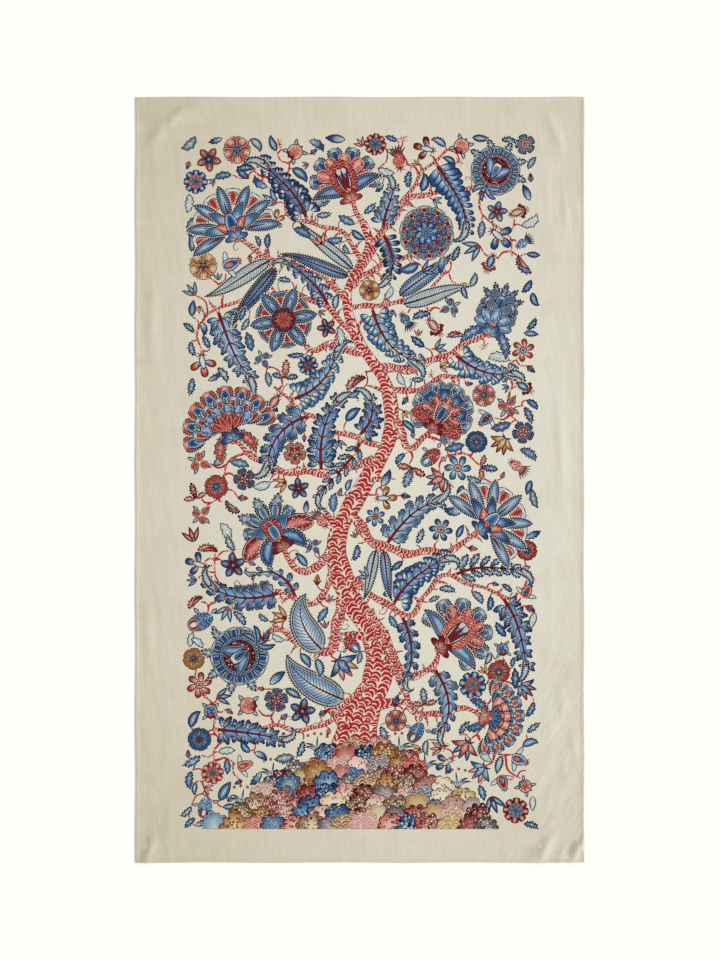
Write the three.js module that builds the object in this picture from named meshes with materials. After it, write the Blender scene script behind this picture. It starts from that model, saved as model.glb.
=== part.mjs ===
// A hand-painted cotton wall panel, lying flat with its painted face up.
// Units are millimetres. +Z is up, +Y points to the panel's top edge and +X to the right of its face.
// The origin is on the surface it lies on, under the middle of the cloth.
import * as THREE from "three";
import { mergeVertices } from "three/addons/utils/BufferGeometryUtils.js";

// Driving dimensions.
const WIDTH = 1200;
const LENGTH = 2047;
const THICKNESS = 1.2;
const MARGIN = 130; // the bare cloth beside the painted field, where the creases lie
const HEM_WIDTH = 7;
const HEM_RISE = 0.6; // the turned hem stands this much above the cloth
const EDGE_WAVE = 1.4; // how far the hand-cut edge falls inside the straight outline
const WAVE_LENGTH = 341; // along an edge, from one wave of the outline to the next

// Grid steps: fine in the margins, coarse across the flat painted field.
const MARGIN_STEP = 16;
const FIELD_STEP_X = 118;
const FIELD_STEP_Y = 46;

// Soft creases, one row each. x and y are the middle, from the middle of the cloth.
// along and across are half lengths, height is the lift, and turn is the angle of the crease from +X.
const CREASES = [
  { name: "top left fan", x: -492, y: 970, along: 78, across: 15, height: 4.2, turn: 43 },
  { name: "top left fan, outer", x: -540, y: 925, along: 84, across: 17, height: 3.0, turn: 57 },
  { name: "top left run", x: -427, y: 972, along: 62, across: 9, height: 2.8, turn: 82 },
  { name: "top run", x: -60, y: 990, along: 70, across: 13, height: 1.8, turn: 74 },
  { name: "top right ripple", x: 520, y: 930, along: 84, across: 15, height: 3.2, turn: 112 },
  { name: "right ripple, inner", x: 501, y: 768, along: 92, across: 11, height: 3.2, turn: 100 },
  { name: "right ripple, outer", x: 549, y: 726, along: 86, across: 9, height: 2.6, turn: 95 },
  { name: "right ripple, edge", x: 573, y: 735, along: 70, across: 8, height: 2.2, turn: 105 },
  { name: "right ripple, middle", x: 536, y: 96, along: 150, across: 15, height: 2.2, turn: 92 },
  { name: "right pull, upper", x: 518, y: -632, along: 104, across: 14, height: 3.8, turn: 58 },
  { name: "right pull, lower", x: 560, y: -742, along: 84, across: 12, height: 2.8, turn: 66 },
  { name: "bottom right corner fold", x: 580, y: -988, along: 58, across: 12, height: 7.6, turn: 60 },
  { name: "bottom right run", x: 494, y: -986, along: 68, across: 14, height: 5.0, turn: 65 },
  { name: "bottom right run, small", x: 541, y: -996, along: 44, across: 9, height: 2.6, turn: 68 },
  { name: "bottom run", x: 130, y: -996, along: 62, across: 14, height: 1.8, turn: 80 },
  { name: "bottom left run", x: -562, y: -990, along: 66, across: 12, height: 5.4, turn: 71 },
  { name: "bottom left ripple", x: -508, y: -920, along: 70, across: 15, height: 2.6, turn: 78 },
  { name: "left ripple, lower", x: -566, y: -420, along: 130, across: 13, height: 2.0, turn: 91 },
  { name: "left ripple, upper", x: -556, y: 420, along: 150, across: 14, height: 2.2, turn: 88 },
];

// How much of a crease is left at a place: full on its line, and nothing past its ends and sides.
function creaseShare(crease, x, y) {
  const turn = THREE.MathUtils.degToRad(crease.turn);
  const dx = x - crease.x;
  const dy = y - crease.y;
  const along = Math.abs(dx * Math.cos(turn) + dy * Math.sin(turn)) / crease.along;
  const across = Math.abs(dy * Math.cos(turn) - dx * Math.sin(turn)) / crease.across;
  return smoothEnd(along) * smoothEnd(across / 2);
}

// Falls smoothly from 1 at 0 to 0 at 1.
function smoothEnd(share) {
  const left = 1 - Math.min(share, 1);
  return left * left * (3 - 2 * left);
}

// How far the cloth is lifted off the surface. The painted field lies flat.
function lift(x, y) {
  const inside = Math.min(WIDTH / 2 - Math.abs(x), LENGTH / 2 - Math.abs(y));
  const marginShare = smoothEnd(inside / MARGIN);
  const height = Math.max(...CREASES.map((crease) => crease.height * creaseShare(crease, x, y)));
  return marginShare > 0 ? height * Math.min(1, 2 * marginShare) : 0;
}

// How far the outline falls inside its straight line at a place along an edge.
function edgeWave(along, side) {
  return EDGE_WAVE * (0.5 - 0.5 * Math.cos((2 * Math.PI * along) / WAVE_LENGTH + side));
}

// Grid lines across one direction: the hem's edge, the margin in fine steps and the field in coarse ones.
function gridLines(size, fieldStep) {
  const half = size / 2;
  const lines = [-half, -half + HEM_WIDTH];
  const marginCells = Math.round((MARGIN - HEM_WIDTH) / MARGIN_STEP);
  for (let i = 1; i <= marginCells; i++) {
    lines.push(-half + HEM_WIDTH + ((MARGIN - HEM_WIDTH) * i) / marginCells);
  }
  const fieldCells = Math.round((size - 2 * MARGIN) / fieldStep / 2);
  for (let i = 1; i < fieldCells; i++) {
    lines.push(-half + MARGIN + ((half - MARGIN) * i) / fieldCells);
  }
  return [...lines, 0, ...lines.map((value) => -value).reverse()];
}

// One face of the cloth, or the other, as points on the grid.
function sheetPoint(x, y, face) {
  const nearX = Math.abs(x) > WIDTH / 2 - HEM_WIDTH / 2;
  const nearY = Math.abs(y) > LENGTH / 2 - HEM_WIDTH / 2;
  const onHem = nearX || nearY;
  const outX = nearX ? x - Math.sign(x) * edgeWave(y, Math.sign(x)) : x;
  const outY = nearY ? y - Math.sign(y) * edgeWave(x, 2 * Math.sign(y)) : y;
  const rise = face === "top" ? THICKNESS + (onHem ? HEM_RISE : 0) : 0;
  return [outX, outY, lift(x, y) + rise];
}

// The closed sheet: a top face, an underside and the narrow edge that joins them.
function clothGeometry() {
  const xs = gridLines(WIDTH, FIELD_STEP_X);
  const ys = gridLines(LENGTH, FIELD_STEP_Y);
  const positions = [];
  for (const face of ["top", "under"]) {
    for (const y of ys) {
      for (const x of xs) {
        positions.push(...sheetPoint(x, y, face));
      }
    }
  }
  const perFace = xs.length * ys.length;
  const at = (column, row, face) => face * perFace + row * xs.length + column;
  const index = [];
  const quad = (a, b, c, d) => index.push(a, b, c, a, c, d);
  for (let row = 0; row + 1 < ys.length; row++) {
    for (let column = 0; column + 1 < xs.length; column++) {
      const corners = [[0, 0], [1, 0], [1, 1], [0, 1]].map(([i, j]) => [column + i, row + j]);
      quad(...corners.map(([i, j]) => at(i, j, 0)));
      quad(...corners.reverse().map(([i, j]) => at(i, j, 1)));
    }
  }
  const rim = [];
  for (let i = 0; i < xs.length - 1; i++) rim.push([i, 0]);
  for (let j = 0; j < ys.length - 1; j++) rim.push([xs.length - 1, j]);
  for (let i = xs.length - 1; i > 0; i--) rim.push([i, ys.length - 1]);
  for (let j = ys.length - 1; j > 0; j--) rim.push([0, j]);
  rim.forEach(([i, j], k) => {
    const [nextI, nextJ] = rim[(k + 1) % rim.length];
    quad(at(i, j, 1), at(nextI, nextJ, 1), at(nextI, nextJ, 0), at(i, j, 0));
  });
  const geometry = new THREE.BufferGeometry();
  geometry.setAttribute("position", new THREE.Float32BufferAttribute(positions, 3));
  geometry.setIndex(index);
  return mergeVertices(geometry);
}

const cottonCloth = new THREE.MeshStandardMaterial({ color: 0xd6d0bb, roughness: 0.9, metalness: 0 });

const cloth = new THREE.Mesh(clothGeometry(), cottonCloth);
cloth.name = "cloth";

const panel = new THREE.Group();
panel.add(cloth);

export default panel;
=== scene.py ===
import itertools
import math
import random
from collections import namedtuple

import bpy
import numpy as np
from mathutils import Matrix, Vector, geometry


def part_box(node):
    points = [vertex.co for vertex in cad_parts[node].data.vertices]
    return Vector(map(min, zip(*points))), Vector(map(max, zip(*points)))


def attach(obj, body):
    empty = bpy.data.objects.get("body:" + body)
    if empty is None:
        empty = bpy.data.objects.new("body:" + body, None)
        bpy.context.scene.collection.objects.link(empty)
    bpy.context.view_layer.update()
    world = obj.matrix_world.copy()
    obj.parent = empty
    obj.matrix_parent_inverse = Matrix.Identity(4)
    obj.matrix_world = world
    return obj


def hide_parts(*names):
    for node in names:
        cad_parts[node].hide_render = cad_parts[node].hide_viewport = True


# A hand-painted cotton panel, lying flat with its painted face up.
# The drawing is worked out in millimetres on the flat cloth, with +X right and +Y to the top edge.
# It is then cut into the top face of one cloth mesh, so each painted shape has clean edges.

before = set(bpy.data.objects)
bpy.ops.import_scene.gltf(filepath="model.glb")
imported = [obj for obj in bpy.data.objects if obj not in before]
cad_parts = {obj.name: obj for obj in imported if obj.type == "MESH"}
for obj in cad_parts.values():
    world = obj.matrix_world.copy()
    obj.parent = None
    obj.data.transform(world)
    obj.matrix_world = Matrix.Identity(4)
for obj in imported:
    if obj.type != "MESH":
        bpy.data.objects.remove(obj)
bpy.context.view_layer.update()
cloth_low, cloth_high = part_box("cloth")

MM = 0.001
WIDTH = round((cloth_high[0] - cloth_low[0]) / MM)
LENGTH = round((cloth_high[1] - cloth_low[1]) / MM)
THICKNESS = 1.2
MARGIN = 130  # the bare cloth beside the painted field, where the creases lie
HEM_WIDTH = 7
HEM_RISE = 0.6  # the turned hem stands this much above the cloth
EDGE_WAVE = 1.4  # how far the hand-cut edge falls inside the straight outline
WAVE_LENGTH = 341  # along an edge, from one wave of the outline to the next
CREASE_LIFT = 1.35  # creases stand higher here than in the solid
CREASE_POWER = 1.7  # and are narrower
MARGIN_STEP = 7.5  # the mesh of the bare margins
FIELD_STEP = 60  # the mesh along the flat field, before the drawing is cut into it
UNDER_STEP = 24  # the mesh of the underside

# The painted field and the mound of shrubs under the tree.
FIELD_LEFT = -474
FIELD_RIGHT = 474
FIELD_TOP = 927
FIELD_BOTTOM = -933
MOUND_LEFT = -408
MOUND_RIGHT = 396
MOUND_TOP = -682

SEED = 20
SEED_SPREAD = 50  # how far apart the patterns of two patches may start

# Soft creases of the margins, one row each, as in the solid.
Crease = namedtuple("Crease", "x y along across height turn")
CREASES = [
    Crease(-492, 970, 78, 15, 4.2, 43),  # top left fan
    Crease(-540, 925, 84, 17, 3.0, 57),  # top left fan, outer
    Crease(-427, 972, 62, 9, 2.8, 82),  # top left run
    Crease(-60, 990, 70, 13, 1.8, 74),  # top run
    Crease(520, 930, 84, 15, 3.2, 112),  # top right ripple
    Crease(501, 768, 92, 11, 3.2, 100),  # right ripple, inner
    Crease(549, 726, 86, 9, 2.6, 95),  # right ripple, outer
    Crease(573, 735, 70, 8, 2.2, 105),  # right ripple, edge
    Crease(536, 96, 150, 15, 2.2, 92),  # right ripple, middle
    Crease(518, -632, 104, 14, 3.8, 58),  # right pull, upper
    Crease(560, -742, 84, 12, 2.8, 66),  # right pull, lower
    Crease(580, -988, 58, 12, 7.6, 60),  # bottom right corner fold
    Crease(494, -986, 68, 14, 5.0, 65),  # bottom right run
    Crease(541, -996, 44, 9, 2.6, 68),  # bottom right run, small
    Crease(130, -996, 62, 14, 1.8, 80),  # bottom run
    Crease(-562, -990, 66, 12, 5.4, 71),  # bottom left run
    Crease(-508, -920, 70, 15, 2.6, 78),  # bottom left ripple
    Crease(-566, -420, 130, 13, 2.0, 91),  # left ripple, lower
    Crease(-556, 420, 150, 14, 2.2, 88),  # left ripple, upper
]


# Colours, as they look on the cloth under the light of this scene.
LIGHT_GAIN = 1.1  # what the light makes of a colour, against the colour itself


def colour(red, green, blue):
    """A colour seen as (red, green, blue) from 0 to 255, as the linear colour of the surface."""
    seen = [value / 255 for value in (red, green, blue)]
    linear = [v / 12.92 if v <= 0.04045 else ((v + 0.055) / 1.055) ** 2.4 for v in seen]
    return tuple(v / LIGHT_GAIN for v in linear) + (1.0,)


COTTON = colour(221, 217, 201)
# the darker cotton that painted shade to the left, the darker ends and clouds of tone mix towards
DARKER_COTTON = colour(195, 186, 161)
STAIN = colour(196, 184, 156)
PINKISH = colour(218, 204, 192)

# A paint has the ink of its outline, its wash where the brush was full, and its wash where it ran out.
Paint = namedtuple("Paint", "ink wash pale")
INDIGO = Paint(colour(3, 9, 36), colour(44, 76, 124), colour(130, 164, 194))
SKY = Paint(colour(4, 14, 46), colour(70, 108, 150), colour(158, 184, 202))
DEEP = Paint(colour(2, 5, 24), colour(30, 50, 92), colour(102, 134, 168))
GREY = Paint(colour(4, 12, 38), colour(96, 120, 146), colour(184, 196, 198))
MADDER = Paint(colour(36, 2, 8), colour(128, 24, 32), colour(208, 128, 112))
CORAL = Paint(colour(60, 6, 12), colour(170, 62, 52), colour(222, 156, 138))
ROSE = Paint(colour(84, 18, 24), colour(184, 104, 90), colour(220, 178, 160))
OCHRE = Paint(colour(104, 50, 28), colour(160, 106, 50), colour(214, 186, 134))
STRAW = Paint(colour(104, 80, 42), colour(182, 156, 94), colour(220, 206, 166))
UMBER = Paint(colour(80, 44, 32), colour(146, 108, 72), colour(216, 198, 164))
BLUSH = Paint(colour(120, 50, 52), colour(200, 150, 140), colour(222, 200, 188))
BARK = Paint(colour(116, 14, 24), colour(172, 40, 40), colour(226, 208, 190))
SMOKE = Paint(colour(66, 52, 62), colour(118, 102, 110), colour(204, 192, 184))

# A brush says how a patch is filled.
# fade is (change along it, change from its edge inwards, start) of the step from wash to pale.
# marks is (veins across it, side veins per mm, height of its fringe in mm).
# dots is (dots per mm, their size, their tone: -1 dark to 1 light).
Brush = namedtuple("Brush", "material fade marks dots")

BLANK = (0.0, 0.0, 0.0)


def brush(material="wash", fade=BLANK, marks=BLANK, dots=BLANK):
    return Brush(material, fade, marks, dots)


TIP_DARK = (-1.7, 0.0, 1.2)
BASE_DARK = (1.7, 0.0, -0.5)
EDGE_DARK = (0.0, 1.8, -0.6)
HEART_DARK = (0.0, -1.8, 1.2)


class Spot:
    """A place on the cloth and a heading in degrees, from which shapes are drawn."""

    def __init__(self, x, y, turn=0.0):
        self.x = x
        self.y = y
        self.turn = turn

    def point(self, ahead, left=0.0):
        c = math.cos(math.radians(self.turn))
        s = math.sin(math.radians(self.turn))
        return self.x + ahead * c - left * s, self.y + ahead * s + left * c

    def go(self, ahead=0.0, left=0.0, turn=0.0):
        x, y = self.point(ahead, left)
        return Spot(x, y, self.turn + turn)


class Line:
    """A smooth line on the cloth, given by close points."""

    def __init__(self, points):
        self.points = np.array(points, float)
        steps = np.hypot(*np.diff(self.points, axis=0).T)
        self.lengths = np.concatenate([[0.0], np.cumsum(steps)])
        self.length = float(self.lengths[-1])
        ahead = np.gradient(self.points, axis=0)
        self.turns = np.unwrap(np.arctan2(ahead[:, 1], ahead[:, 0]))

    def at(self, share):
        length = share * self.length
        x = np.interp(length, self.lengths, self.points[:, 0])
        y = np.interp(length, self.lengths, self.points[:, 1])
        turn = np.interp(length, self.lengths, self.turns)
        return Spot(float(x), float(y), math.degrees(turn))


def bent_line(spot, length, bend=0.0, curl=0.0, steps=10):
    """A line from a spot that turns evenly by bend, and by curl mostly near its end, in degrees."""
    points = [(spot.x, spot.y)]
    for i in range(steps):
        share = (i + 0.5) / steps
        turn = math.radians(spot.turn + bend * share + curl * share**3)
        x, y = points[-1]
        points.append((x + length / steps * math.cos(turn), y + length / steps * math.sin(turn)))
    return Line(points)


def smooth_line(knots, per_span=8):
    """A smooth line through a few knots."""
    knots = [np.array(knot, float) for knot in knots]
    ends = [2 * knots[0] - knots[1]] + knots + [2 * knots[-1] - knots[-2]]
    points = []
    for a, b, c, d in zip(ends, ends[1:], ends[2:], ends[3:]):
        square = 2 * a - 5 * b + 4 * c - d
        cube = 3 * b - a - 3 * c + d
        for i in range(per_span):
            u = i / per_span
            points.append(0.5 * (2 * b + (c - a) * u + square * u**2 + cube * u**3))
    points.append(knots[-1])
    return Line(points)


# A patch of paint is a few triangles, with the places of their corners in the patch's own frame.
# Its extent is its length, its width and a number of its own, from which its pattern starts.
Patch = namedtuple("Patch", "layer number points faces places extent paint fill")
LAYER_TWIG, LAYER_BOUGH, LAYER_LEAF, LAYER_SMALL, LAYER_BLOOM, LAYER_MOUND = range(6)

patches = []
dice = random.Random(SEED)


def add_patch(layer, points, faces, places, length, wide, paint, fill):
    extent = (length, wide, dice.random() * SEED_SPREAD)
    patches.append(Patch(layer, len(patches), points, faces, places, extent, paint, fill))


def even(steps):
    """Even shares from 0 to 1."""
    return [i / steps for i in range(steps + 1)]


def eased(steps):
    """Shares from 0 to 1 that lie closer together at both ends."""
    return [(1 - math.cos(math.pi * i / steps)) / 2 for i in range(steps + 1)]


def strip(layer, line, shares, half, paint, fill, lean=0.0, soft=False):
    """A band of paint along a line, with its half width at each share of its length.

    lean pushes wide places ahead. A soft band has no pen line, so that it runs into the paint beside it.
    """
    points = []
    places = []
    for share, wide in zip(shares, half):
        spot = line.at(share)
        ahead = lean * wide
        for side in (1, -1):
            points.append(spot.point(ahead, side * wide))
            places.append((share * line.length + ahead, side * wide, wide))
    faces = []
    for a in range(0, 2 * len(shares) - 2, 2):
        faces += [(a, a + 1, a + 3), (a, a + 3, a + 2)]
    wide = 1.0 if soft else max(*half, 0.1)
    add_patch(layer, points, faces, places, line.length, wide, paint, fill)


def swell(share, base, tip):
    """A half width from 0 to 1 along a petal: small powers make blunt ends, large ones points."""
    peak = base / (base + tip)
    top = peak**base * (1 - peak) ** tip
    return max(share, 0.0) ** base * max(1 - share, 0.0) ** tip / top


# A toothed petal: where each tooth starts and ends in its share of the length, how wide the petal is
# there, and how far the teeth lean forward. A plain petal has one more step past each of LONGER, in mm.
TOOTH_ENDS = (0.12, 0.8)
TOOTH_CUTS = [0.78, 1.08]
TOOTH_LEAN = 0.3
LONGER = (16, 34, 60, 90)


def petal(layer, spot, length, width, paint, fill, shape=(0.6, 0.4), bend=0.0, curl=0.0, teeth=0):
    """A pointed or blunt shape from a spot, with teeth on both sides if asked."""
    line = bent_line(spot, length, bend, curl)
    if teeth:
        shares = [0.0] + [(k + at) / teeth for k in range(teeth) for at in TOOTH_ENDS] + [1.0]
        cuts = [1.0] + TOOTH_CUTS * teeth + [1.0]
    else:
        shares = eased(5 + sum(length > limit for limit in LONGER))
        cuts = [1.0] * len(shares)
    half = [width / 2 * cut * swell(share, *shape) for share, cut in zip(shares, cuts)]
    strip(layer, line, shares, half, paint, fill, TOOTH_LEAN if teeth else 0.0)


def stroke(layer, line, start, end, paint, fill, steps=8, soft=False):
    """A line of paint that narrows from start to end, both full widths."""
    shares = even(steps)
    half = [(start + (end - start) * share) / 2 for share in shares]
    strip(layer, line, shares, half, paint, fill, soft=soft)


def fan(layer, spot, size, reaches, paint, fill, least_ahead=-math.inf):
    """A round patch, with its reach at even turns. It is cut straight where it would pass least_ahead."""
    points = [(spot.x, spot.y)]
    places = [(0.0, 0.0, size)]
    count = len(reaches)
    for i, reach in enumerate(reaches):
        turn = 2 * math.pi * i / count
        ahead = max(reach * math.cos(turn), least_ahead)
        left = reach * math.sin(turn)
        points.append(spot.point(ahead, left))
        places.append((ahead, left, 0.0))
    faces = [(0, 1 + i, 1 + (i + 1) % count) for i in range(count)]
    add_patch(layer, points, faces, places, size, size, paint, fill)


# Fillings that many shapes share.
FLAT = brush()
VEINED = brush(fade=EDGE_DARK, marks=(3.0, 0.0, 0.0))
VEINED_TIP = brush(fade=TIP_DARK, marks=(3.0, 0.0, 0.0))
VEINED_BASE = brush(fade=BASE_DARK, marks=(3.0, 0.0, 0.0))
HEARTED = brush(fade=HEART_DARK)
RIBBED = brush(fade=(0.0, 1.5, -0.4), marks=(0.0, 0.17, 0.0))
COMBED = brush(fade=(-0.3, 1.6, -0.5), marks=(0.0, 0.16, 3.8))
TIP_COMBED = brush(fade=(-2.0, 0.6, 1.15), marks=(0.0, 0.15, 2.6))
TIPPED = brush(fade=(-2.3, 0.4, 1.5))
STIPPLED = brush(fade=(0.2, 0.7, 0.4), dots=(0.24, 0.25, -1.0))
EDGED = brush(fade=(0.0, 2.1, -0.8), marks=(0.0, 0.22, 4.6))
BEADED = brush(dots=(0.19, 0.28, 1.0))
LACED = brush(fade=(0.0, 1.2, -0.4), dots=(0.26, 0.3, 1.0))
ROUND_DARK = brush("round", fade=(1.2, 0.0, -0.2))
SPOKED = brush("round", fade=(1.0, 0.0, 0.1), marks=(14.0, 0.0, 0.0))
RAYED = brush("round", fade=(-0.7, 0.0, 0.9), marks=(36.0, 0.0, 0.0))
SEEDED = brush("round", fade=(0.6, 0.0, -0.1), dots=(0.2, 0.28, 1.0))
NETTED = brush("curls", marks=(0.17, 1.0, 0.0))
SCALED = brush("scales", marks=(0.062, 0.0, 0.0))
BLADED = brush(fade=(-0.3, 1.6, -0.4), marks=(0.0, 0.12, 4.8))
INNER_BLADE = brush(fade=(0.0, 0.034, 0.36))
HAIRED = brush(fade=(0.0, 0.7, 0.4), marks=(0.0, 0.14, 4.4), dots=(0.2, 0.22, -1.0))
STRIPED = brush(fade=(0.0, 1.2, 0.2), marks=(0.0, 0.1, 0.0))
BARKED = brush("scales", marks=(0.036, 0.0, 0.0))
FINE_BARKED = brush("scales", marks=(0.05, 0.0, 0.0))
TWIGGED = brush(fade=(0.0, 0.0, 0.05), dots=(0.15, 0.3, 1.0))

# Outlines of petals, for swell.
LEAFY = (0.55, 0.6)
BLUNT = (0.6, 0.3)
SPEAR = (0.6, 0.9)
CLAW = (0.3, 0.8)
DROP = (0.5, 0.5)
LANCE = (0.7, 0.95)

# One row of petals. Lengths are in sizes of the motif, and turns are in degrees from its heading.
# paint is the number of one of the motif's own paints, or a Paint. foot is how far ahead the middle is.
# A sweep below 360 makes a fan about the heading. lean bends the petals away from it, bend all one way.
Petals = namedtuple("Petals", "count inside length width paint fill shape sweep start foot lean bend teeth",
                    defaults=(BLUNT, 360, 0, 0, 0, 0, 0))
Disc = namedtuple("Disc", "radius paint fill sides", defaults=(12,))


def draw_motif(layer, spot, size, paints, rows, side=1):
    """Draws a motif's rows in order. A side of -1 mirrors it."""
    for row in rows:
        paint = paints[row.paint] if isinstance(row.paint, int) else row.paint
        if isinstance(row, Disc):
            radius = row.radius * size
            fan(layer, spot, radius, [radius] * row.sides, paint, row.fill)
        else:
            draw_petals(layer, spot.go(row.foot * size), size, paint, row, side)


def draw_petals(layer, middle, size, paint, row, side):
    """One row of petals about its middle. In a fan the middle petal is painted last."""
    ring = row.sweep >= 360
    gaps = row.count if ring else max(row.count - 1, 1)
    first = 0 if ring or row.count == 1 else -row.sweep / 2
    turns = [row.start + first + row.sweep * i / gaps for i in range(row.count)]
    if not ring:
        turns.sort(key=lambda turn: -abs(turn - row.start))
    length = row.length * size
    width = row.width * size
    for turn in turns:
        bend = side * (row.bend + (math.copysign(row.lean, turn) if abs(turn) > 1 else 0))
        way = middle.go(turn=side * turn).go(row.inside * size)
        petal(layer, way, length, width, paint, row.fill, row.shape, bend, teeth=row.teeth)


def nested(count, inside, length, width, paint, heart, fill=None, **more):
    """A row of petals, each with a darker heart of another paint."""
    outer = Petals(count, inside, length, width, paint, fill or VEINED, (0.6, 0.28), **more)
    inner = Petals(count, inside, 0.8 * length, 0.6 * width, heart, HEARTED, (0.6, 0.3), **more)
    return [outer, inner]


# The scaly cup under a bloom, with claws to both sides, and the claws under a small flower.
CUP = [
    Petals(6, 0, 0.34, 0.06, MADDER, FLAT, CLAW, 250, 180, -0.5, -60),
    Petals(1, 0, 0.5, 0.34, CORAL, SCALED, (0.45, 0.4), foot=-0.8),
    Petals(4, 0, 0.36, 0.2, 1, VEINED_TIP, DROP, 150, 0, -0.66, -30),
]
CLAWS = [Petals(6, 0, 0.46, 0.11, MADDER, FLAT, CLAW, 230, 180, -0.75, -60)]

# Big blooms, of radius 1.
BLOOMS = {
    "rose": [
        *nested(7, 0.34, 0.66, 0.66, GREY, 0, sweep=262, foot=-0.06),
        Petals(6, 0.26, 0.56, 0.5, 0, TIP_COMBED, (0.6, 0.3), 226, foot=-0.06),
        Petals(2, 0, 0.86, 0.6, 1, SCALED, (0.5, 0.4), 150, foot=-0.3, lean=-70),
        Petals(5, 0.16, 0.5, 0.36, 1, LACED, (0.6, 0.3), 170, foot=-0.16),
        *nested(1, 0, 0.72, 0.5, 2, 0, EDGED, foot=-0.46),
        *CUP,
    ],
    "lotus": [
        *nested(6, 0.76, 0.5, 0.5, GREY, 2, STIPPLED, sweep=176, foot=-0.45),
        Petals(7, 0.2, 1.2, 0.4, 0, EDGED, (0.8, 0.6), 190, foot=-0.45, lean=14),
        Petals(7, 0.3, 0.66, 0.06, MADDER, FLAT, CLAW, 190, foot=-0.45, lean=8),
        Petals(4, 0.1, 0.86, 0.34, 1, TIP_COMBED, LEAFY, 118, foot=-0.5, lean=34),
        Petals(2, 0.0, 0.62, 0.3, 2, LACED, LEAFY, 66, foot=-0.55, lean=30),
        Petals(1, 0, 0.72, 0.4, 0, HEARTED, (0.5, 0.5), foot=-0.62),
        *CUP,
    ],
    "pomegranate": [
        Petals(5, 0.5, 0.66, 0.34, GREY, EDGED, (0.5, 0.7), 150, lean=20, teeth=5),
        *nested(13, 0.46, 0.4, 0.44, GREY, 0),
        Disc(0.6, 1, RAYED, sides=26),
        Petals(22, 0.47, 0.12, 0.12, GREY, FLAT, DROP),
        Disc(0.47, 2, NETTED, sides=22),
        Petals(2, 0.1, 0.7, 0.36, 0, RIBBED, DROP, 44, foot=-0.36, lean=26),
        *nested(1, 0, 0.62, 0.34, GREY, 0, STIPPLED, foot=-0.32),
        Petals(4, 0, 0.6, 0.2, 0, COMBED, LEAFY, 150, 180, -0.6, -80),
        Petals(4, 0, 0.3, 0.05, MADDER, FLAT, CLAW, 120, 180, -0.8, -60),
    ],
    "star": [
        *nested(6, 0.2, 0.66, 0.6, GREY, 1, VEINED_TIP, start=30),
        Petals(6, 0.08, 0.94, 0.46, 0, EDGED, (0.62, 0.6)),
        Petals(6, 0.16, 0.56, 0.2, GREY, VEINED_BASE, SPEAR),
        Petals(12, 0.12, 0.26, 0.13, 2, VEINED_TIP),
        Petals(6, 0.03, 0.2, 0.17, 1, HEARTED, DROP, start=30),
        Disc(0.08, 2, ROUND_DARK),
    ],
    "palmette": [
        *nested(7, 0.44, 0.6, 0.5, GREY, 0, EDGED, sweep=214, foot=-0.1),
        Petals(6, 0.24, 0.6, 0.44, 1, LACED, (0.6, 0.3), 186, foot=-0.1),
        Petals(2, 0, 1.2, 0.44, 0, COMBED, LANCE, 96, foot=-0.5, lean=66),
        Petals(1, 0, 1.12, 0.8, 2, SCALED, (0.45, 0.5), foot=-0.54),
        *nested(1, 0, 0.84, 0.42, GREY, 0, STIPPLED, foot=-0.52),
        Petals(3, 0.1, 0.7, 0.1, MADDER, FLAT, SPEAR, 26, foot=-0.5),
        *CUP,
    ],
    "tiered": [
        Petals(3, 0.5, 0.66, 0.4, GREY, EDGED, LANCE, 72, foot=-0.14, teeth=5),
        *nested(5, 0.3, 0.6, 0.44, 0, GREY, EDGED, sweep=130, foot=-0.14),
        Petals(2, 0.1, 1.1, 0.56, 1, LACED, (0.6, 0.5), 150, foot=-0.24, lean=-60),
        Petals(2, 0.1, 0.9, 0.5, 0, COMBED, (0.5, 0.7), 200, foot=-0.3, lean=-90),
        Petals(4, 0.2, 0.54, 0.34, 2, VEINED_TIP, (0.7, 0.3), 80, foot=-0.4),
        *nested(1, 0, 0.8, 0.56, 1, 2, SCALED, foot=-0.56),
        *CUP,
    ],
    "dahlia": [
        *nested(10, 0.5, 0.5, 0.58, GREY, 0),
        Petals(10, 0.38, 0.42, 0.46, 1, TIP_COMBED, start=18),
        *nested(9, 0.24, 0.38, 0.4, 0, 2),
        Petals(8, 0.12, 0.32, 0.3, 1, LACED, DROP),
        Petals(5, 0.03, 0.22, 0.2, 2, HEARTED, DROP),
        Disc(0.08, 1, ROUND_DARK),
    ],
    "carnation": [
        *nested(8, 0.7, 0.66, 0.54, 0, 1, EDGED, sweep=168, foot=-0.5),
        *nested(7, 0.5, 0.56, 0.46, GREY, 0, EDGED, sweep=146, foot=-0.5),
        Petals(6, 0.32, 0.54, 0.4, 1, LACED, (0.7, 0.3), 122, foot=-0.5),
        *nested(4, 0.14, 0.5, 0.36, 2, 0, sweep=86, foot=-0.5),
        Petals(2, 0, 0.94, 0.4, 0, COMBED, LEAFY, 200, 0, -0.5, -90, 0, 6),
        *CUP,
    ],
    "artichoke": [
        Petals(5, 0.1, 0.72, 0.32, 0, EDGED, SPEAR, 116, foot=0.2, teeth=5),
        Petals(4, 0.1, 0.52, 0.38, GREY, VEINED_TIP, LEAFY, 150, foot=0.12, lean=20),
        *nested(5, 0.1, 0.52, 0.36, 2, 0, sweep=160, foot=-0.06, lean=24),
        Petals(4, 0.1, 0.56, 0.38, GREY, VEINED_TIP, LEAFY, 140, foot=-0.24, lean=24),
        Petals(2, 0, 1.1, 0.4, 0, EDGED, LEAFY, 200, 0, -0.5, -70, 0, 6),
        Petals(5, 0.1, 0.52, 0.36, 1, LACED, LEAFY, 150, foot=-0.42, lean=30),
        *nested(1, 0, 0.6, 0.46, 1, 0, SCALED, foot=-0.8),
        *CUP,
    ],
}

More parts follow.
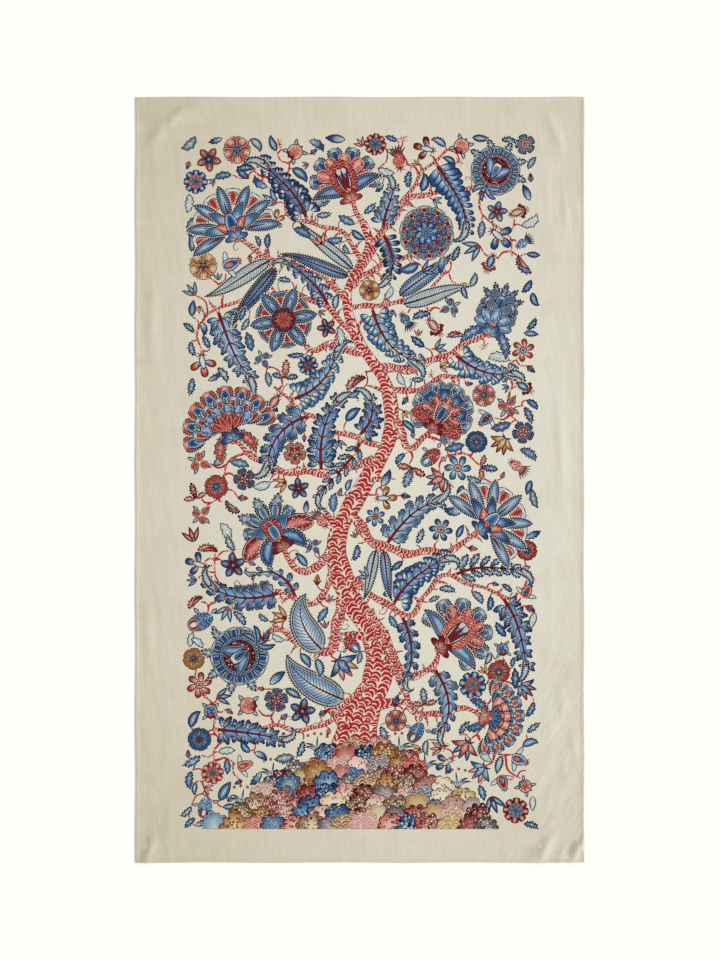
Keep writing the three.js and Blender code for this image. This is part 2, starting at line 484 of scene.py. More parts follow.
# Long leaves: how far apart the lobes are, how far they turn from the rib at the foot and at the tip,
# the width of the blade under them, the rows of one lobe and the share of a lobe that its vein takes.
LeafKind = namedtuple("LeafKind", "step foot_turn tip_turn blade lobe vein")
LEAF_KINDS = {
    "jagged": LeafKind(26, 60, 36, 0.2, [
        Petals(1, 0.1, 1.1, 0.84, 0, TIP_COMBED, (0.5, 0.6), bend=20, teeth=3)], 0.84),
    "scalloped": LeafKind(25, 66, 40, 0.18, [
        Petals(3, 0.44, 0.6, 0.46, 0, TIPPED, (0.6, 0.25), 56),
        Petals(1, 0.3, 0.5, 0.36, GREY, STIPPLED, DROP)], 0.66),
    "acanthus": LeafKind(34, 58, 38, 0.19, [
        Petals(2, 0.2, 0.84, 0.52, 0, TIP_COMBED, (0.55, 0.6), 62, lean=30),
        Petals(1, 0.1, 1.1, 0.6, 0, TIP_COMBED, (0.55, 0.6), teeth=3)], 0.86),
    "fern": LeafKind(26, 56, 32, 0.0, [
        Petals(1, 0, 1.2, 0.62, 0, EDGED, LEAFY, bend=20, teeth=4)], 0.6),
    "feather": LeafKind(17, 60, 34, 0.14, [
        Petals(1, 0, 1.12, 0.52, 0, TIPPED, (0.6, 0.35), bend=-26)], 0.4),
}
leaf_turns = itertools.cycle([
    "twin", "scalloped", "jagged", "fern", "acanthus", "striped", "scalloped",
    "jagged", "acanthus", "twin", "scalloped", "feather", "jagged", "acanthus",
])

CURL_SHARE = 1.25  # how long the curled tip of a leaf is, in widths of the leaf
RIB = 9  # the width of a lobed leaf's rib at its foot, in mm
BLADE_RIB = 5.5  # and of a plain blade's


def long_leaf(line, width, paint, kind):
    """Lobes on both sides of a pale blade with a red rib, from the tip to the foot, and a curled tip."""
    curl = dice.choice((-1, 1)) * dice.uniform(120, 220)
    count = max(4, round(line.length / kind.step))
    veins = []
    for i in range(count, 0, -1):
        share = (i - 0.6) / count
        slim = 1.1 - 0.52 * share - 0.5 * max(0, 0.16 - share)
        for side in (-1, 1):
            reach = width / 2 * slim * dice.uniform(0.88, 1.14)
            turn = kind.foot_turn + (kind.tip_turn - kind.foot_turn) * share + dice.uniform(-7, 7)
            way = line.at(share).go(turn=side * turn)
            draw_motif(LAYER_LEAF, way, reach, [paint], kind.lobe, -side)
            veins.append(bent_line(way, kind.vein * reach, -side * 16))
    if kind.blade:
        half = [width * kind.blade * share for share in (0.1, 0.9, 1.0, 0.4, 0.02)]
        strip(LAYER_LEAF, line, [0.0, 0.15, 0.5, 0.85, 1.0], half, paint, INNER_BLADE, soft=True)
    tip = line.at(0.84)
    petal(LAYER_LEAF, tip, width * CURL_SHARE, width * 0.36, GREY, EDGED, (0.3, 0.9), curl * 0.3, curl)
    for vein in veins:
        stroke(LAYER_LEAF, vein, 4.6, 1.2, MADDER, FLAT, 3)
    rib(line, RIB)


def part_of(line, start, length):
    """A part of a line, from a share of it on."""
    return Line([line.at(start + length * i / 8).point(0) for i in range(9)])


def rib(line, start, paint=MADDER):
    stroke(LAYER_LEAF, part_of(line, 0, 0.95), start, 1.8, paint, FLAT, 7)


def blade(line, width, paint, fill, rib_paint=MADDER):
    """A plain pointed blade with close side veins and a hairy edge."""
    shares = eased(14)
    half = [width / 2 * swell(share, 0.42, 0.9) for share in shares]
    strip(LAYER_LEAF, line, shares, half, paint, fill)
    rib(line, BLADE_RIB, rib_paint)


def twin_blades(line, width, paint):
    """Two blades from one stalk, one pale and one dark."""
    for side, shade, fill, rib_paint in ((-1, GREY, HAIRED, DEEP), (1, paint, BLADED, MADDER)):
        start = line.at(0.0).go(0, side * 0.16 * width, side * 14)
        blade(bent_line(start, line.length, side * -22, side * 40), width * 0.6, shade, fill, rib_paint)


def striped_blade(line, width, paint):
    """A broad blade with bold side veins inside a pale hairy one."""
    blade(line, width * 1.06, GREY, HAIRED)
    blade(part_of(line, 0.06, 0.84), width * 0.8, paint, STRIPED)


# Small and middle-sized motifs, of radius 1.
SIDE_LEAVES = Petals(4, 0.62, 0.56, 0.34, GREY, EDGED, LANCE, start=45)
SMALL_MOTIFS = [
    [  # five blunt petals
        Petals(5, 0.1, 0.9, 1.08, 0, VEINED, (0.75, 0.25)),
        Petals(5, 0.1, 0.46, 0.2, 1, VEINED_BASE, DROP),
        Disc(0.2, 1, SEEDED), Disc(0.09, GREY, ROUND_DARK)],
    [  # three toothed leaves
        Petals(2, 0, 1.15, 0.66, 0, EDGED, LEAFY, 130, foot=-0.65, lean=-26, teeth=4),
        Petals(1, 0, 1.65, 0.84, 1, EDGED, LEAFY, foot=-0.7, teeth=5),
        Petals(3, 0, 0.9, 0.1, MADDER, FLAT, CLAW, 110, foot=-0.66)],
    [  # five pointed petals
        Petals(5, 0.04, 0.98, 0.66, 0, VEINED, (0.7, 0.7)),
        Petals(5, 0.1, 0.56, 0.3, 1, VEINED_BASE, DROP),
        Disc(0.15, GREY, ROUND_DARK)],
    [  # a round fruit between four leaves
        SIDE_LEAVES._replace(inside=0.5, length=0.56),
        Petals(3, 0.35, 0.42, 0.22, 1, VEINED, DROP, 70),
        Disc(0.62, 0, SEEDED, sides=18),
        Petals(3, 0, 0.5, 0.3, 1, VEINED_TIP, DROP, 90, 180, -0.2)],
    [  # six petals with pale hearts
        Petals(6, 0.12, 0.88, 0.88, 0, VEINED_TIP, (0.7, 0.25)),
        Petals(6, 0.16, 0.4, 0.26, GREY, HEARTED, DROP),
        Disc(0.18, 1, SEEDED)],
    [  # a winged flower on claws
        *CLAWS,
        Petals(2, 0.2, 0.98, 0.66, 0, TIP_COMBED, (0.5, 0.35), 110, foot=-0.4, lean=20),
        Petals(1, 0.2, 0.98, 0.7, 0, TIP_COMBED, (0.5, 0.35), foot=-0.2),
        Petals(3, 0.2, 0.5, 0.24, 1, FLAT, DROP, 100, foot=-0.3),
        Petals(1, 0, 1.1, 0.5, GREY, STIPPLED, (0.4, 0.5), foot=-0.8)],
    [  # a long fruit with a coloured cap
        SIDE_LEAVES._replace(start=20, foot=-0.3),
        Petals(1, 0, 1.8, 1.25, 0, SCALED, (0.5, 0.4), foot=-0.9),
        Petals(1, 0, 0.9, 1.0, 1, VEINED, (0.3, 0.4), foot=0.16),
        Petals(1, 0, 0.6, 0.5, GREY, STIPPLED, (0.3, 0.4), foot=0.3)],
    [  # a hanging bell
        *CLAWS,
        Petals(5, 0, 0.7, 0.06, MADDER, FLAT, DROP, 50, foot=0.3),
        Petals(4, 0, 0.8, 0.44, 1, VEINED_TIP, DROP, 96, foot=-0.1, lean=30),
        Petals(1, 0, 1.2, 0.9, 0, EDGED, (0.4, 0.5), foot=-0.8)],
    [  # a leaf that curls over another
        Petals(1, 0, 1.9, 0.84, 0, EDGED, LEAFY, foot=-0.9, bend=80, teeth=6),
        Petals(1, 0, 1.4, 0.4, 1, RIBBED, LEAFY, foot=-0.85, bend=90),
        Petals(1, 0, 1.5, 0.12, MADDER, FLAT, CLAW, foot=-0.9, bend=70)],
    [  # two rows of petals
        Petals(8, 0.35, 0.65, 0.62, 0, VEINED),
        Petals(8, 0.2, 0.42, 0.34, 1, HEARTED, start=22),
        Petals(5, 0.04, 0.3, 0.26, GREY, HEARTED, DROP), Disc(0.1, 0, ROUND_DARK)],
    [  # a tulip
        Petals(3, 0.2, 1.4, 0.5, 1, VEINED, (0.5, 0.7), 52, foot=-0.8),
        Petals(2, 0, 1.5, 0.62, 0, TIP_COMBED, (0.5, 0.8), 80, foot=-0.8, lean=-52),
        Petals(1, 0, 1.2, 0.72, 0, LACED, (0.45, 0.7), foot=-0.75),
        Petals(2, 0, 0.6, 0.18, INDIGO, FLAT, CLAW, 190, foot=-0.8, lean=-60)],
    [  # five petals with coloured hearts
        Petals(5, 0.1, 0.9, 0.96, 0, TIP_COMBED, (0.75, 0.3)),
        Petals(5, 0.16, 0.52, 0.4, 1, HEARTED, DROP),
        Disc(0.16, 0, SPOKED)],
    [  # a thistle
        *CLAWS,
        Petals(7, 0.2, 0.86, 0.16, 0, VEINED, CLAW, 84, foot=-0.1),
        Petals(5, 0.1, 0.6, 0.2, 1, VEINED_TIP, DROP, 70, foot=-0.1),
        Petals(1, 0, 0.9, 0.9, 1, SCALED, DROP, foot=-0.75)],
    [  # petals that turn
        Petals(6, 0.16, 0.84, 0.56, 0, TIP_COMBED, (0.7, 0.4), bend=50),
        Disc(0.3, 1, SPOKED), Disc(0.12, 0, ROUND_DARK)],
    [  # three berries
        SIDE_LEAVES._replace(start=0, inside=0.3, length=0.7),
        Petals(3, 0.06, 0.7, 0.62, 0, HEARTED, DROP, start=60),
        Petals(3, 0.26, 0.3, 0.26, 1, FLAT, DROP, start=60)],
    [  # a pear between leaves
        Petals(2, 0, 1.2, 0.46, GREY, STIPPLED, LEAFY, 120, foot=-0.5, lean=-20),
        Petals(1, 0, 1.5, 1.0, 0, HEARTED, (0.4, 0.7), foot=-0.7),
        Petals(1, 0, 0.7, 0.5, 1, BEADED, (0.4, 0.6), foot=-0.5),
        Petals(4, 0, 0.4, 0.14, 1, VEINED_TIP, DROP, 110, foot=0.5)],
]
MOTIF_STRIDE = 5  # how far on in the list the next motif is, so that like ones don't stand together
motif_numbers = itertools.count(1)

# The two paints of a small flower, and the paint and filling of a small leaf.
FLOWER_PAINTS = [
    (INDIGO, CORAL), (MADDER, SKY), (CORAL, INDIGO), (INDIGO, MADDER), (CORAL, ROSE), (SKY, MADDER),
    (MADDER, GREY), (INDIGO, ROSE), (CORAL, GREY), (SKY, CORAL), (OCHRE, MADDER), (INDIGO, CORAL),
    (CORAL, SKY), (ROSE, MADDER), (SKY, ROSE), (INDIGO, MADDER),
]
LEAF_LOOKS = [
    (GREY, STIPPLED), (GREY, EDGED), (INDIGO, RIBBED), (SKY, EDGED), (INDIGO, VEINED), (SKY, COMBED),
    (GREY, RIBBED), (INDIGO, EDGED), (SKY, RIBBED), (INDIGO, TIP_COMBED),
]
BUD = [
    Petals(1, 0.1, 1.5, 0.84, 0, VEINED_TIP, (0.4, 0.7)),
    Petals(3, 0, 1.0, 0.3, 1, FLAT, CLAW, 56, lean=-30),
]
SPRIG = [
    Petals(3, 0, 1.9, 0.62, 0, VEINED, SPEAR, 70),
    Petals(1, 0, 0.6, 0.4, 1, FLAT, DROP),
]
CORAL_TWIG = [
    Petals(1, 0, 2.0, 0.16, BARK, FLAT, (0.1, 0.3), bend=30, foot=-1),
    Petals(2, 0.1, 0.7, 0.12, MADDER, FLAT, CLAW, 110, foot=-0.5, lean=-60),
    Petals(2, 0.1, 0.6, 0.12, MADDER, FLAT, CLAW, 90, 10, -0.05, -60),
    Petals(2, 0.1, 0.5, 0.12, MADDER, FLAT, CLAW, 90, 20, 0.4, -60),
]
SPROUT = [
    Petals(4, 0, 0.86, 0.15, INDIGO, TIPPED, (0.3, 0.6), 56, lean=90),
    Petals(1, 0, 0.9, 0.12, SKY, TIPPED, (0.3, 0.6)),
    Petals(4, 0.94, 0.17, 0.17, ROSE, HEARTED, DROP, 60),
]


class Room:
    """How far each place of the field is from what is drawn already. Each motif is a chain of circles."""

    CELL = 5.0

    def __init__(self):
        xs = np.arange(FIELD_LEFT, FIELD_RIGHT + 1, self.CELL)
        ys = np.arange(FIELD_BOTTOM, FIELD_TOP + 1, self.CELL)
        self.x, self.y = np.meshgrid(xs, ys)
        across = [self.x - FIELD_LEFT, FIELD_RIGHT - self.x]
        up = [self.y - FIELD_BOTTOM, FIELD_TOP - self.y]
        over_mound = 0.85 * (self.y - np.vectorize(mound_height)(self.x))
        self.gap = np.minimum.reduce([*across, *up, over_mound])
        self.free = self.gap.copy()

    def fill(self, x, y, radius, behind=False):
        """Takes a circle away. What lies behind, such as a bough, still leaves room for long leaves."""
        reach = np.hypot(self.x - x, self.y - y) - radius
        self.gap = np.minimum(self.gap, reach)
        if not behind:
            self.free = np.minimum(self.free, reach)

    def fill_line(self, line, radius, end_radius=None, behind=False):
        end_radius = radius if end_radius is None else end_radius
        for share in even(max(2, int(line.length / 8))):
            spot = line.at(share)
            self.fill(spot.x, spot.y, radius + (end_radius - radius) * share, behind)

    def cell(self, value, start, count):
        return np.clip(np.rint((np.asarray(value) - start) / self.CELL).astype(int), 0, count - 1)

    def at(self, x, y, free=False):
        rows, columns = self.gap.shape
        place = self.cell(y, FIELD_BOTTOM, rows), self.cell(x, FIELD_LEFT, columns)
        return (self.free if free else self.gap)[place]

    def widest(self):
        place = np.unravel_index(np.argmax(self.gap), self.gap.shape)
        return self.x[place], self.y[place], self.gap[place]


def mound_height(x):
    """The top of the mound over a place on its foot."""
    if x <= MOUND_LEFT or x >= MOUND_RIGHT:
        return FIELD_BOTTOM - 40
    middle = (MOUND_LEFT + MOUND_RIGHT) / 2
    share = abs(x - middle) / ((MOUND_RIGHT - MOUND_LEFT) / 2)
    rise = (1 - share**1.25) ** 0.9
    humps = 14 * math.sin(x / 41.0) + 9 * math.sin(x / 23.0 + 1.3)
    return FIELD_BOTTOM + (MOUND_TOP - FIELD_BOTTOM) * rise + humps * min(1, 4 * rise) * (1 - rise * 0.5)


# The tree. Boughs leave the trunk at a share of its height and end in a bloom.
TRUNK = [(-14, -740), (-2, -640), (44, -540), (46, -430), (-34, -300), (-62, -160), (6, -20), (78, 110),
         (72, 250), (-8, 380), (-34, 500), (24, 620), (8, 690)]

Bough = namedtuple("Bough", "share via width bloom x y size turn paints")
BOUGHS = [
    Bough(0.30, [(-90, -460), (-220, -400)], 30, "pomegranate", -322, -470, 92, 215, (INDIGO, SKY, MADDER)),
    Bough(0.26, [(120, -520), (190, -500)], 30, "palmette", 262, -408, 98, 40, (SKY, MADDER, CORAL)),
    Bough(0.20, [(150, -620), (270, -610)], 18, "carnation", 376, -640, 76, 350, (INDIGO, ROSE, CORAL)),
    Bough(0.38, [(-140, -250), (-190, -210)], 24, "tiered", -236, -128, 94, 120, (INDIGO, MADDER, SKY)),
    Bough(0.45, [(60, -180), (230, -190)], 26, "lotus", 366, -96, 92, 40, (SKY, INDIGO, CORAL)),
    Bough(0.55, [(-120, 20), (-250, 40)], 24, "carnation", -362, 168, 96, 110, (CORAL, INDIGO, MADDER)),
    Bough(0.63, [(130, 90), (170, 110)], 20, "rose", 222, 184, 86, 60, (INDIGO, MADDER, ROSE)),
    Bough(0.72, [(150, 300), (260, 350)], 22, "artichoke", 366, 446, 88, 70, (INDIGO, SKY, GREY)),
    Bough(0.76, [(-80, 360), (-130, 350)], 20, "star", -204, 428, 90, 130, (INDIGO, CORAL, MADDER)),
    Bough(0.86, [(-120, 560), (-240, 590)], 18, "lotus", -350, 704, 92, 110, (INDIGO, SKY, CORAL)),
    Bough(0.88, [(60, 580), (110, 590)], 16, "dahlia", 178, 660, 74, 60, (MADDER, INDIGO, SKY)),
    Bough(0.90, [(120, 740), (230, 770)], 14, "pomegranate", 362, 826, 78, 60, (SKY, ROSE, MADDER)),
    Bough(1.00, [], 14, "palmette", -44, 806, 92, 110, (INDIGO, CORAL, MADDER)),
]

# Boughs that carry only leaves and small flowers: their share, the knots of their line and their width.
SIDE_BOUGHS = [
    (0.13, [(-110, -660), (-240, -660), (-380, -700)], 16),
    (0.33, [(130, -360), (210, -260), (330, -290), (430, -330)], 16),
    (0.35, [(-120, -330), (-260, -290), (-400, -330)], 16),
    (0.58, [(-60, 130), (-160, 190), (-230, 250)], 14),
    (0.68, [(150, 240), (250, 280), (410, 280)], 14),
    (0.80, [(-120, 480), (-260, 500), (-420, 440)], 12),
    (0.84, [(60, 470), (160, 480), (230, 560)], 12),
    (0.93, [(-60, 670), (-180, 700), (-220, 820)], 10),
    (0.96, [(90, 700), (150, 800), (230, 880)], 10),
]


# Cut-off boughs on the trunk: their share of its height and their side, 1 for the left.
SNAGS = ((0.05, 1), (0.1, -1), (0.22, 1), (0.3, -1), (0.42, 1), (0.52, -1), (0.68, 1), (0.8, -1))

room = Room()
branch_spots = []  # where a twig may start: spots along every bough


def trunk_width(share):
    """A trunk that flares at its foot and narrows to the top."""
    return 20 + 62 * (1 - share) ** 1.3 + 52 * math.exp(-share * 14)


def draw_trunk():
    line = smooth_line(TRUNK)
    shares = even(70)
    half = [trunk_width(s) / 2 * (1 + 0.08 * math.sin(s * 41) + 0.06 * math.sin(s * 97)) for s in shares]
    strip(LAYER_BOUGH, line, shares, half, BARK, BARKED)
    for share in shares:
        spot = line.at(share)
        room.fill(spot.x, spot.y, trunk_width(share) / 2 + 5)
        if share > 0.13:
            branch_spots.append(spot)
    for share, side in SNAGS:
        wide = trunk_width(share)
        snag = line.at(share).go(0, side * 0.3 * wide, side * 44)
        petal(LAYER_BOUGH, snag, 0.9 * wide + 26, 0.34 * wide, BARK, BARKED, (0.1, 0.8), side * 24)
    return line


def waved(line, depth):
    """The same line with gentle waves, as drawn by hand, that die out at its ends."""
    points = []
    for share in even(max(12, int(line.length / 8))):
        wave = depth * math.sin(share * line.length / 17) * math.sin(math.pi * share)
        points.append(line.at(share).point(0, wave))
    return Line(points)


THORN_SHARE = 0.26  # how often a step of a bough carries a thorn
TENDRIL_SHARE = 0.34  # and a thorn or a tendril


def draw_bough(line, start, end):
    """A bough that narrows to its end, with thorns and a few tendrils."""
    line = waved(line, 5.5)
    shares = even(max(6, int(line.length / 14)))
    half = [(start + (end - start) * s) / 2 * (1 + 0.16 * math.sin(s * 37 + start)) for s in shares]
    strip(LAYER_BOUGH, line, shares, half, BARK, FINE_BARKED)
    room.fill_line(line, start / 2 + 3, end / 2 + 3, behind=True)
    for share in shares[2:-1]:
        spot = line.at(share)
        branch_spots.append(spot)
        chance = dice.random()
        side = dice.choice((-1, 1))
        if chance < THORN_SHARE:
            thorn = spot.go(turn=side * 48)
            petal(LAYER_BOUGH, thorn, dice.uniform(22, 44), 9, BARK, FINE_BARKED, (0.15, 0.9), side * 50)
        elif chance < TENDRIL_SHARE:
            tendril = spot.go(turn=side * 60)
            petal(LAYER_TWIG, tendril, 62, 2.6, MADDER, FLAT, (0.1, 0.3), side * 60, side * 300)


def trunk_side(trunk, share, to_x):
    """Where a bough leaves the trunk: just inside its edge, on the side that the bough grows to."""
    spot = trunk.at(share)
    if share >= 1:
        return spot
    side = 1 if to_x < spot.x else -1
    return spot.go(left=side * 0.3 * trunk_width(share))


def draw_tree():
    trunk = draw_trunk()
    for bough in BOUGHS:
        root = trunk_side(trunk, bough.share, bough.x)
        bloom_spot = Spot(bough.x, bough.y, bough.turn)
        foot = bloom_spot.point(-0.6 * bough.size)
        draw_bough(smooth_line([(root.x, root.y), *bough.via, foot]), bough.width + 3, 12)
    for share, via, width in SIDE_BOUGHS:
        root = trunk_side(trunk, share, via[-1][0])
        draw_bough(smooth_line([(root.x, root.y), *via]), width + 3, 7)
    for bough in BOUGHS:
        spot = Spot(bough.x, bough.y, bough.turn)
        draw_motif(LAYER_BLOOM, spot, bough.size, bough.paints, BLOOMS[bough.bloom])
        room.fill(bough.x, bough.y, bough.size)


LEAF_SHARES = np.linspace(0.18, 1.0, 8)  # where along a leaf the room beside it is measured
LEAF_TRIES = 700


def leaf_reach(width):
    return width / 2 * (1.0 - 0.4 * LEAF_SHARES)


def leaf_fits(line, width):
    """Whether a leaf has room on both sides of its line, from its stalk outwards."""
    x = np.interp(LEAF_SHARES * line.length, line.lengths, line.points[:, 0])
    y = np.interp(LEAF_SHARES * line.length, line.lengths, line.points[:, 1])
    inside = (x > FIELD_LEFT) & (x < FIELD_RIGHT) & (y > FIELD_BOTTOM) & (y < FIELD_TOP)
    return bool(inside.all() and np.min(room.at(x, y, free=True) - leaf_reach(width)) > 0)


def find_leaf(scale):
    """The largest leaf of many tries that fits: its width, its line and the spot that it grows from."""
    best = None
    for _ in range(LEAF_TRIES):
        start = dice.choice(branch_spots)
        turn = dice.choice((-1, 1)) * dice.uniform(20, 120)
        length = dice.uniform(112, 210) * scale
        width = dice.uniform(52, 80) * scale
        if best is not None and length * width < best[0]:
            continue
        stalk = start.go(turn=turn).go(12)
        line = bent_line(stalk, length, dice.uniform(-90, 90), dice.uniform(-60, 60), 8)
        if leaf_fits(line, width):
            best = (length * width, width, line, start)
    return None if best is None else best[1:]


def draw_long_leaves(count, scale=1.0):
    """Long leaves where the field is emptiest, each from a bough that leaves room for it."""
    for _ in range(count):
        found = find_leaf(scale)
        if found is None:
            return
        width, line, start = found
        kind = next(leaf_turns)
        paint = dice.choice((INDIGO, INDIGO, SKY, DEEP, SKY))
        if kind == "twin":
            twin_blades(line, width, paint)
        elif kind == "striped":
            striped_blade(line, width, paint)
        else:
            long_leaf(line, width, paint, LEAF_KINDS[kind])
        stem = smooth_line([(start.x, start.y), line.at(0.0).point(0), line.at(0.06).point(0)])
        stroke(LAYER_TWIG, stem, 11, 7, BARK, FINE_BARKED, 4)
        for share, reach in zip(LEAF_SHARES, leaf_reach(width)):
            spot = line.at(share)
            room.fill(spot.x, spot.y, reach + 1)


def branch_near(x, y):
    """The nearest spot on a bough, how far off it is, and the way from it to a place."""
    start = min(branch_spots, key=lambda spot: (spot.x - x) ** 2 + (spot.y - y) ** 2)
    return start, math.hypot(x - start.x, y - start.y), math.degrees(math.atan2(y - start.y, x - start.x))


def twig_to(x, y, width=8.0):
    """A curved twig from the nearest bough to a place. A long one can carry twigs itself."""
    start, reach, toward = branch_near(x, y)
    swing = dice.choice((-1, 1)) * 0.22 * reach
    middle = Spot(start.x, start.y, toward).point(0.5 * reach, swing)
    line = smooth_line([(start.x, start.y), middle, (x, y)], 6)
    stroke(LAYER_TWIG, line, width, 3.4, BARK, TWIGGED, 7, soft=True)
    if reach > 26:
        for i in (3, 5, 7):
            branch_spots.append(line.at(i / 8))
        room.fill_line(line, 0.5, behind=True)


def draw_middle(count, least):
    """Middle-sized motifs in the widest gap each time, until the gaps are smaller than least."""
    for _ in range(count):
        x, y, gap = room.widest()
        if gap < least:
            return
        _, reach, outward = branch_near(x, y)
        size = min(gap, dice.uniform(29, 38))
        if reach < 150:
            twig_to(*Spot(x, y, outward).point(-0.8 * size))
        rows = SMALL_MOTIFS[next(motif_numbers) * MOTIF_STRIDE % len(SMALL_MOTIFS)]
        spot = Spot(x, y, outward + dice.uniform(-40, 40))
        draw_motif(LAYER_SMALL, spot, size, dice.choice(FLOWER_PAINTS), rows)
        room.fill(x, y, size + 1)


FILLER_GAP = 10.5  # the least gap that is still filled
TIGHT_GAP = 13  # below this a gap gets a sprig at most


def draw_fillers():
    """Small leaves, buds and sprigs, in the widest gap each time."""
    for _ in range(1200):
        x, y, gap = room.widest()
        if gap < FILLER_GAP:
            break
        _, reach, outward = branch_near(x, y)
        draw_small(x, y, gap, outward, reach)


def roomiest_turn(x, y, length):
    """The heading at which a leaf has the most room at its ends, and how much that is."""
    best = None
    for i in range(12):
        turn = 30 * i + dice.uniform(-12, 12)
        ends = [Spot(x, y, turn).point(ahead * length) for ahead in (-0.42, -0.2, 0.2, 0.42)]
        spare = min(float(room.at(*end)) for end in ends)
        if best is None or spare > best[0]:
            best = (spare, turn)
    return best


def draw_small(x, y, gap, outward, reach):
    """A leaf, bud, sprig or bare twig, turned the way that leaves it the most room."""
    length = dice.uniform(38, 60) * min(1.0, 0.5 + gap / 30)
    spare, turn = roomiest_turn(x, y, length)
    if abs((turn - outward + 180) % 360 - 180) > 90:
        turn += 180
    choice = dice.random()
    roomy = spare > 2
    foot = Spot(x, y, turn).go(-0.46 * length if roomy else -0.7 * gap)
    if (roomy or gap > TIGHT_GAP) and reach < 76:
        twig_to(foot.x, foot.y, 5.2)
    if roomy and choice < 0.86:
        draw_leaf(foot, length, min(1.8 * gap, 0.5 * length))
    elif gap > TIGHT_GAP:
        rows = BUD if choice < 0.64 else CORAL_TWIG if choice < 0.84 else SPRIG
        draw_motif(LAYER_SMALL, foot, gap, dice.choice(FLOWER_PAINTS), rows)
        room.fill(x, y, 0.9 * gap)
    else:
        if choice < 0.3:
            draw_motif(LAYER_SMALL, foot, gap, dice.choice(FLOWER_PAINTS), SPRIG)
        room.fill(x, y, 1.25 * gap)


def draw_leaf(foot, length, width):
    paint, fill = dice.choice(LEAF_LOOKS)
    teeth = dice.choice((0, 4, 5)) if width > 16 else 0
    bend = dice.uniform(-34, 34)
    petal(LAYER_SMALL, foot, length * 1.04, width, paint, fill, LANCE, bend, 2 * bend, teeth)
    room.fill_line(bent_line(foot, length), 0.36 * width)


def draw_sprouts():
    """Tufts of grass on the mound."""
    for x in (-318, -236, -116, 106, 176, 262):
        spot = Spot(x, mound_height(x) - 2, 90 + x * 0.03)
        draw_motif(LAYER_SMALL, spot, 50, [], SPROUT)
        room.fill(*spot.point(24), 24)


# The mound: rows of shrubs, the back rows first, so each row overlaps the one behind it.
MOUND_PAINTS = [
    MADDER, CORAL, ROSE, BLUSH, SKY, OCHRE, SMOKE, UMBER, STRAW, UMBER, MADDER,
    SMOKE, BLUSH, GREY, UMBER, CORAL, ROSE, INDIGO, OCHRE, UMBER, SMOKE, ROSE,
]

# The pitch of curls, and how much of them is drawn as a net.
CURLED = [(0.12, 0.0), (0.14, 0.0), (0.13, 1.0), (0.15, 1.0), (0.12, 1.0), (0.13, 0.5)]
MOUND_FILLS = [
    brush("round", fade=(-1.0, 0.0, 1.2), marks=(34.0, 0.0, 0.0)),
    brush("round scales", marks=(0.05, 0.0, 0.0)),
    brush("round scales", marks=(0.062, 0.0, 0.0)),
    brush("round", fade=(-0.6, 0.0, 1.4), dots=(0.13, 0.3, -1.0)),
    *[brush("curls", marks=(pitch, net, 0.0)) for pitch, net in CURLED],
]
LOBE_STEPS = 4
ROW_STEP = 26  # from one row of shrubs to the next


def shrub(x, y, size, paint, fill):
    """A round of small lobes, cut straight where it would pass the foot of the mound."""
    count = dice.choice((8, 9, 10, 11)) * LOBE_STEPS
    deep = dice.uniform(0.12, 0.24)
    reaches = []
    for i in range(count):
        lobe = abs(math.sin(math.pi * i / LOBE_STEPS))
        reaches.append(size * (1 - deep + deep * lobe**0.6) * (1 + 0.1 * math.sin(0.37 * i + size)))
    fan(LAYER_MOUND, Spot(x, y, 90), size, reaches, paint, fill, FIELD_BOTTOM - y)


def draw_mound():
    """Rows of shrubs from the top of the mound down to its straight foot."""
    last = None
    for row in range(int((MOUND_TOP - FIELD_BOTTOM) / ROW_STEP) + 1, -1, -1):
        x = MOUND_LEFT + 24 + (row % 2) * 22
        foot = FIELD_BOTTOM + 3 + row * ROW_STEP
        while x < MOUND_RIGHT - 14:
            size = dice.uniform(33, 47)
            place_x = x + dice.uniform(-6, 6)
            place_y = max(foot + dice.uniform(-7, 7), FIELD_BOTTOM + 3)
            if row == 0 or place_y + 0.45 * size < mound_height(place_x):
                paint = dice.choice([paint for paint in MOUND_PAINTS if paint is not last])
                last = paint
                shrub(place_x, place_y, size, paint, dice.choice(MOUND_FILLS))
            x += dice.uniform(44, 62)


# The cloth's shape, as in the solid.


def smooth_end(share):
    """Falls smoothly from 1 at 0 to 0 at 1."""
    left = 1 - min(share, 1)
    return left * left * (3 - 2 * left)


def crease_height(crease, x, y):
    turn = math.radians(crease.turn)
    dx = x - crease.x
    dy = y - crease.y
    along = abs(dx * math.cos(turn) + dy * math.sin(turn)) / crease.along
    across = abs(dy * math.cos(turn) - dx * math.sin(turn)) / crease.across
    if along >= 1 or across >= 2:
        return 0.0
    return CREASE_LIFT * crease.height * smooth_end(along) * smooth_end(across / 2) ** CREASE_POWER


def lift(x, y):
    """How far the cloth is lifted off the surface. The painted field lies flat."""
    inside = min(WIDTH / 2 - abs(x), LENGTH / 2 - abs(y))
    if inside >= MARGIN:
        return 0.0
    height = max(crease_height(crease, x, y) for crease in CREASES)
    return min(1, 2 * smooth_end(inside / MARGIN)) * height


def edge_wave(along, side):
    return EDGE_WAVE * (0.5 - 0.5 * math.cos(2 * math.pi * along / WAVE_LENGTH + side))


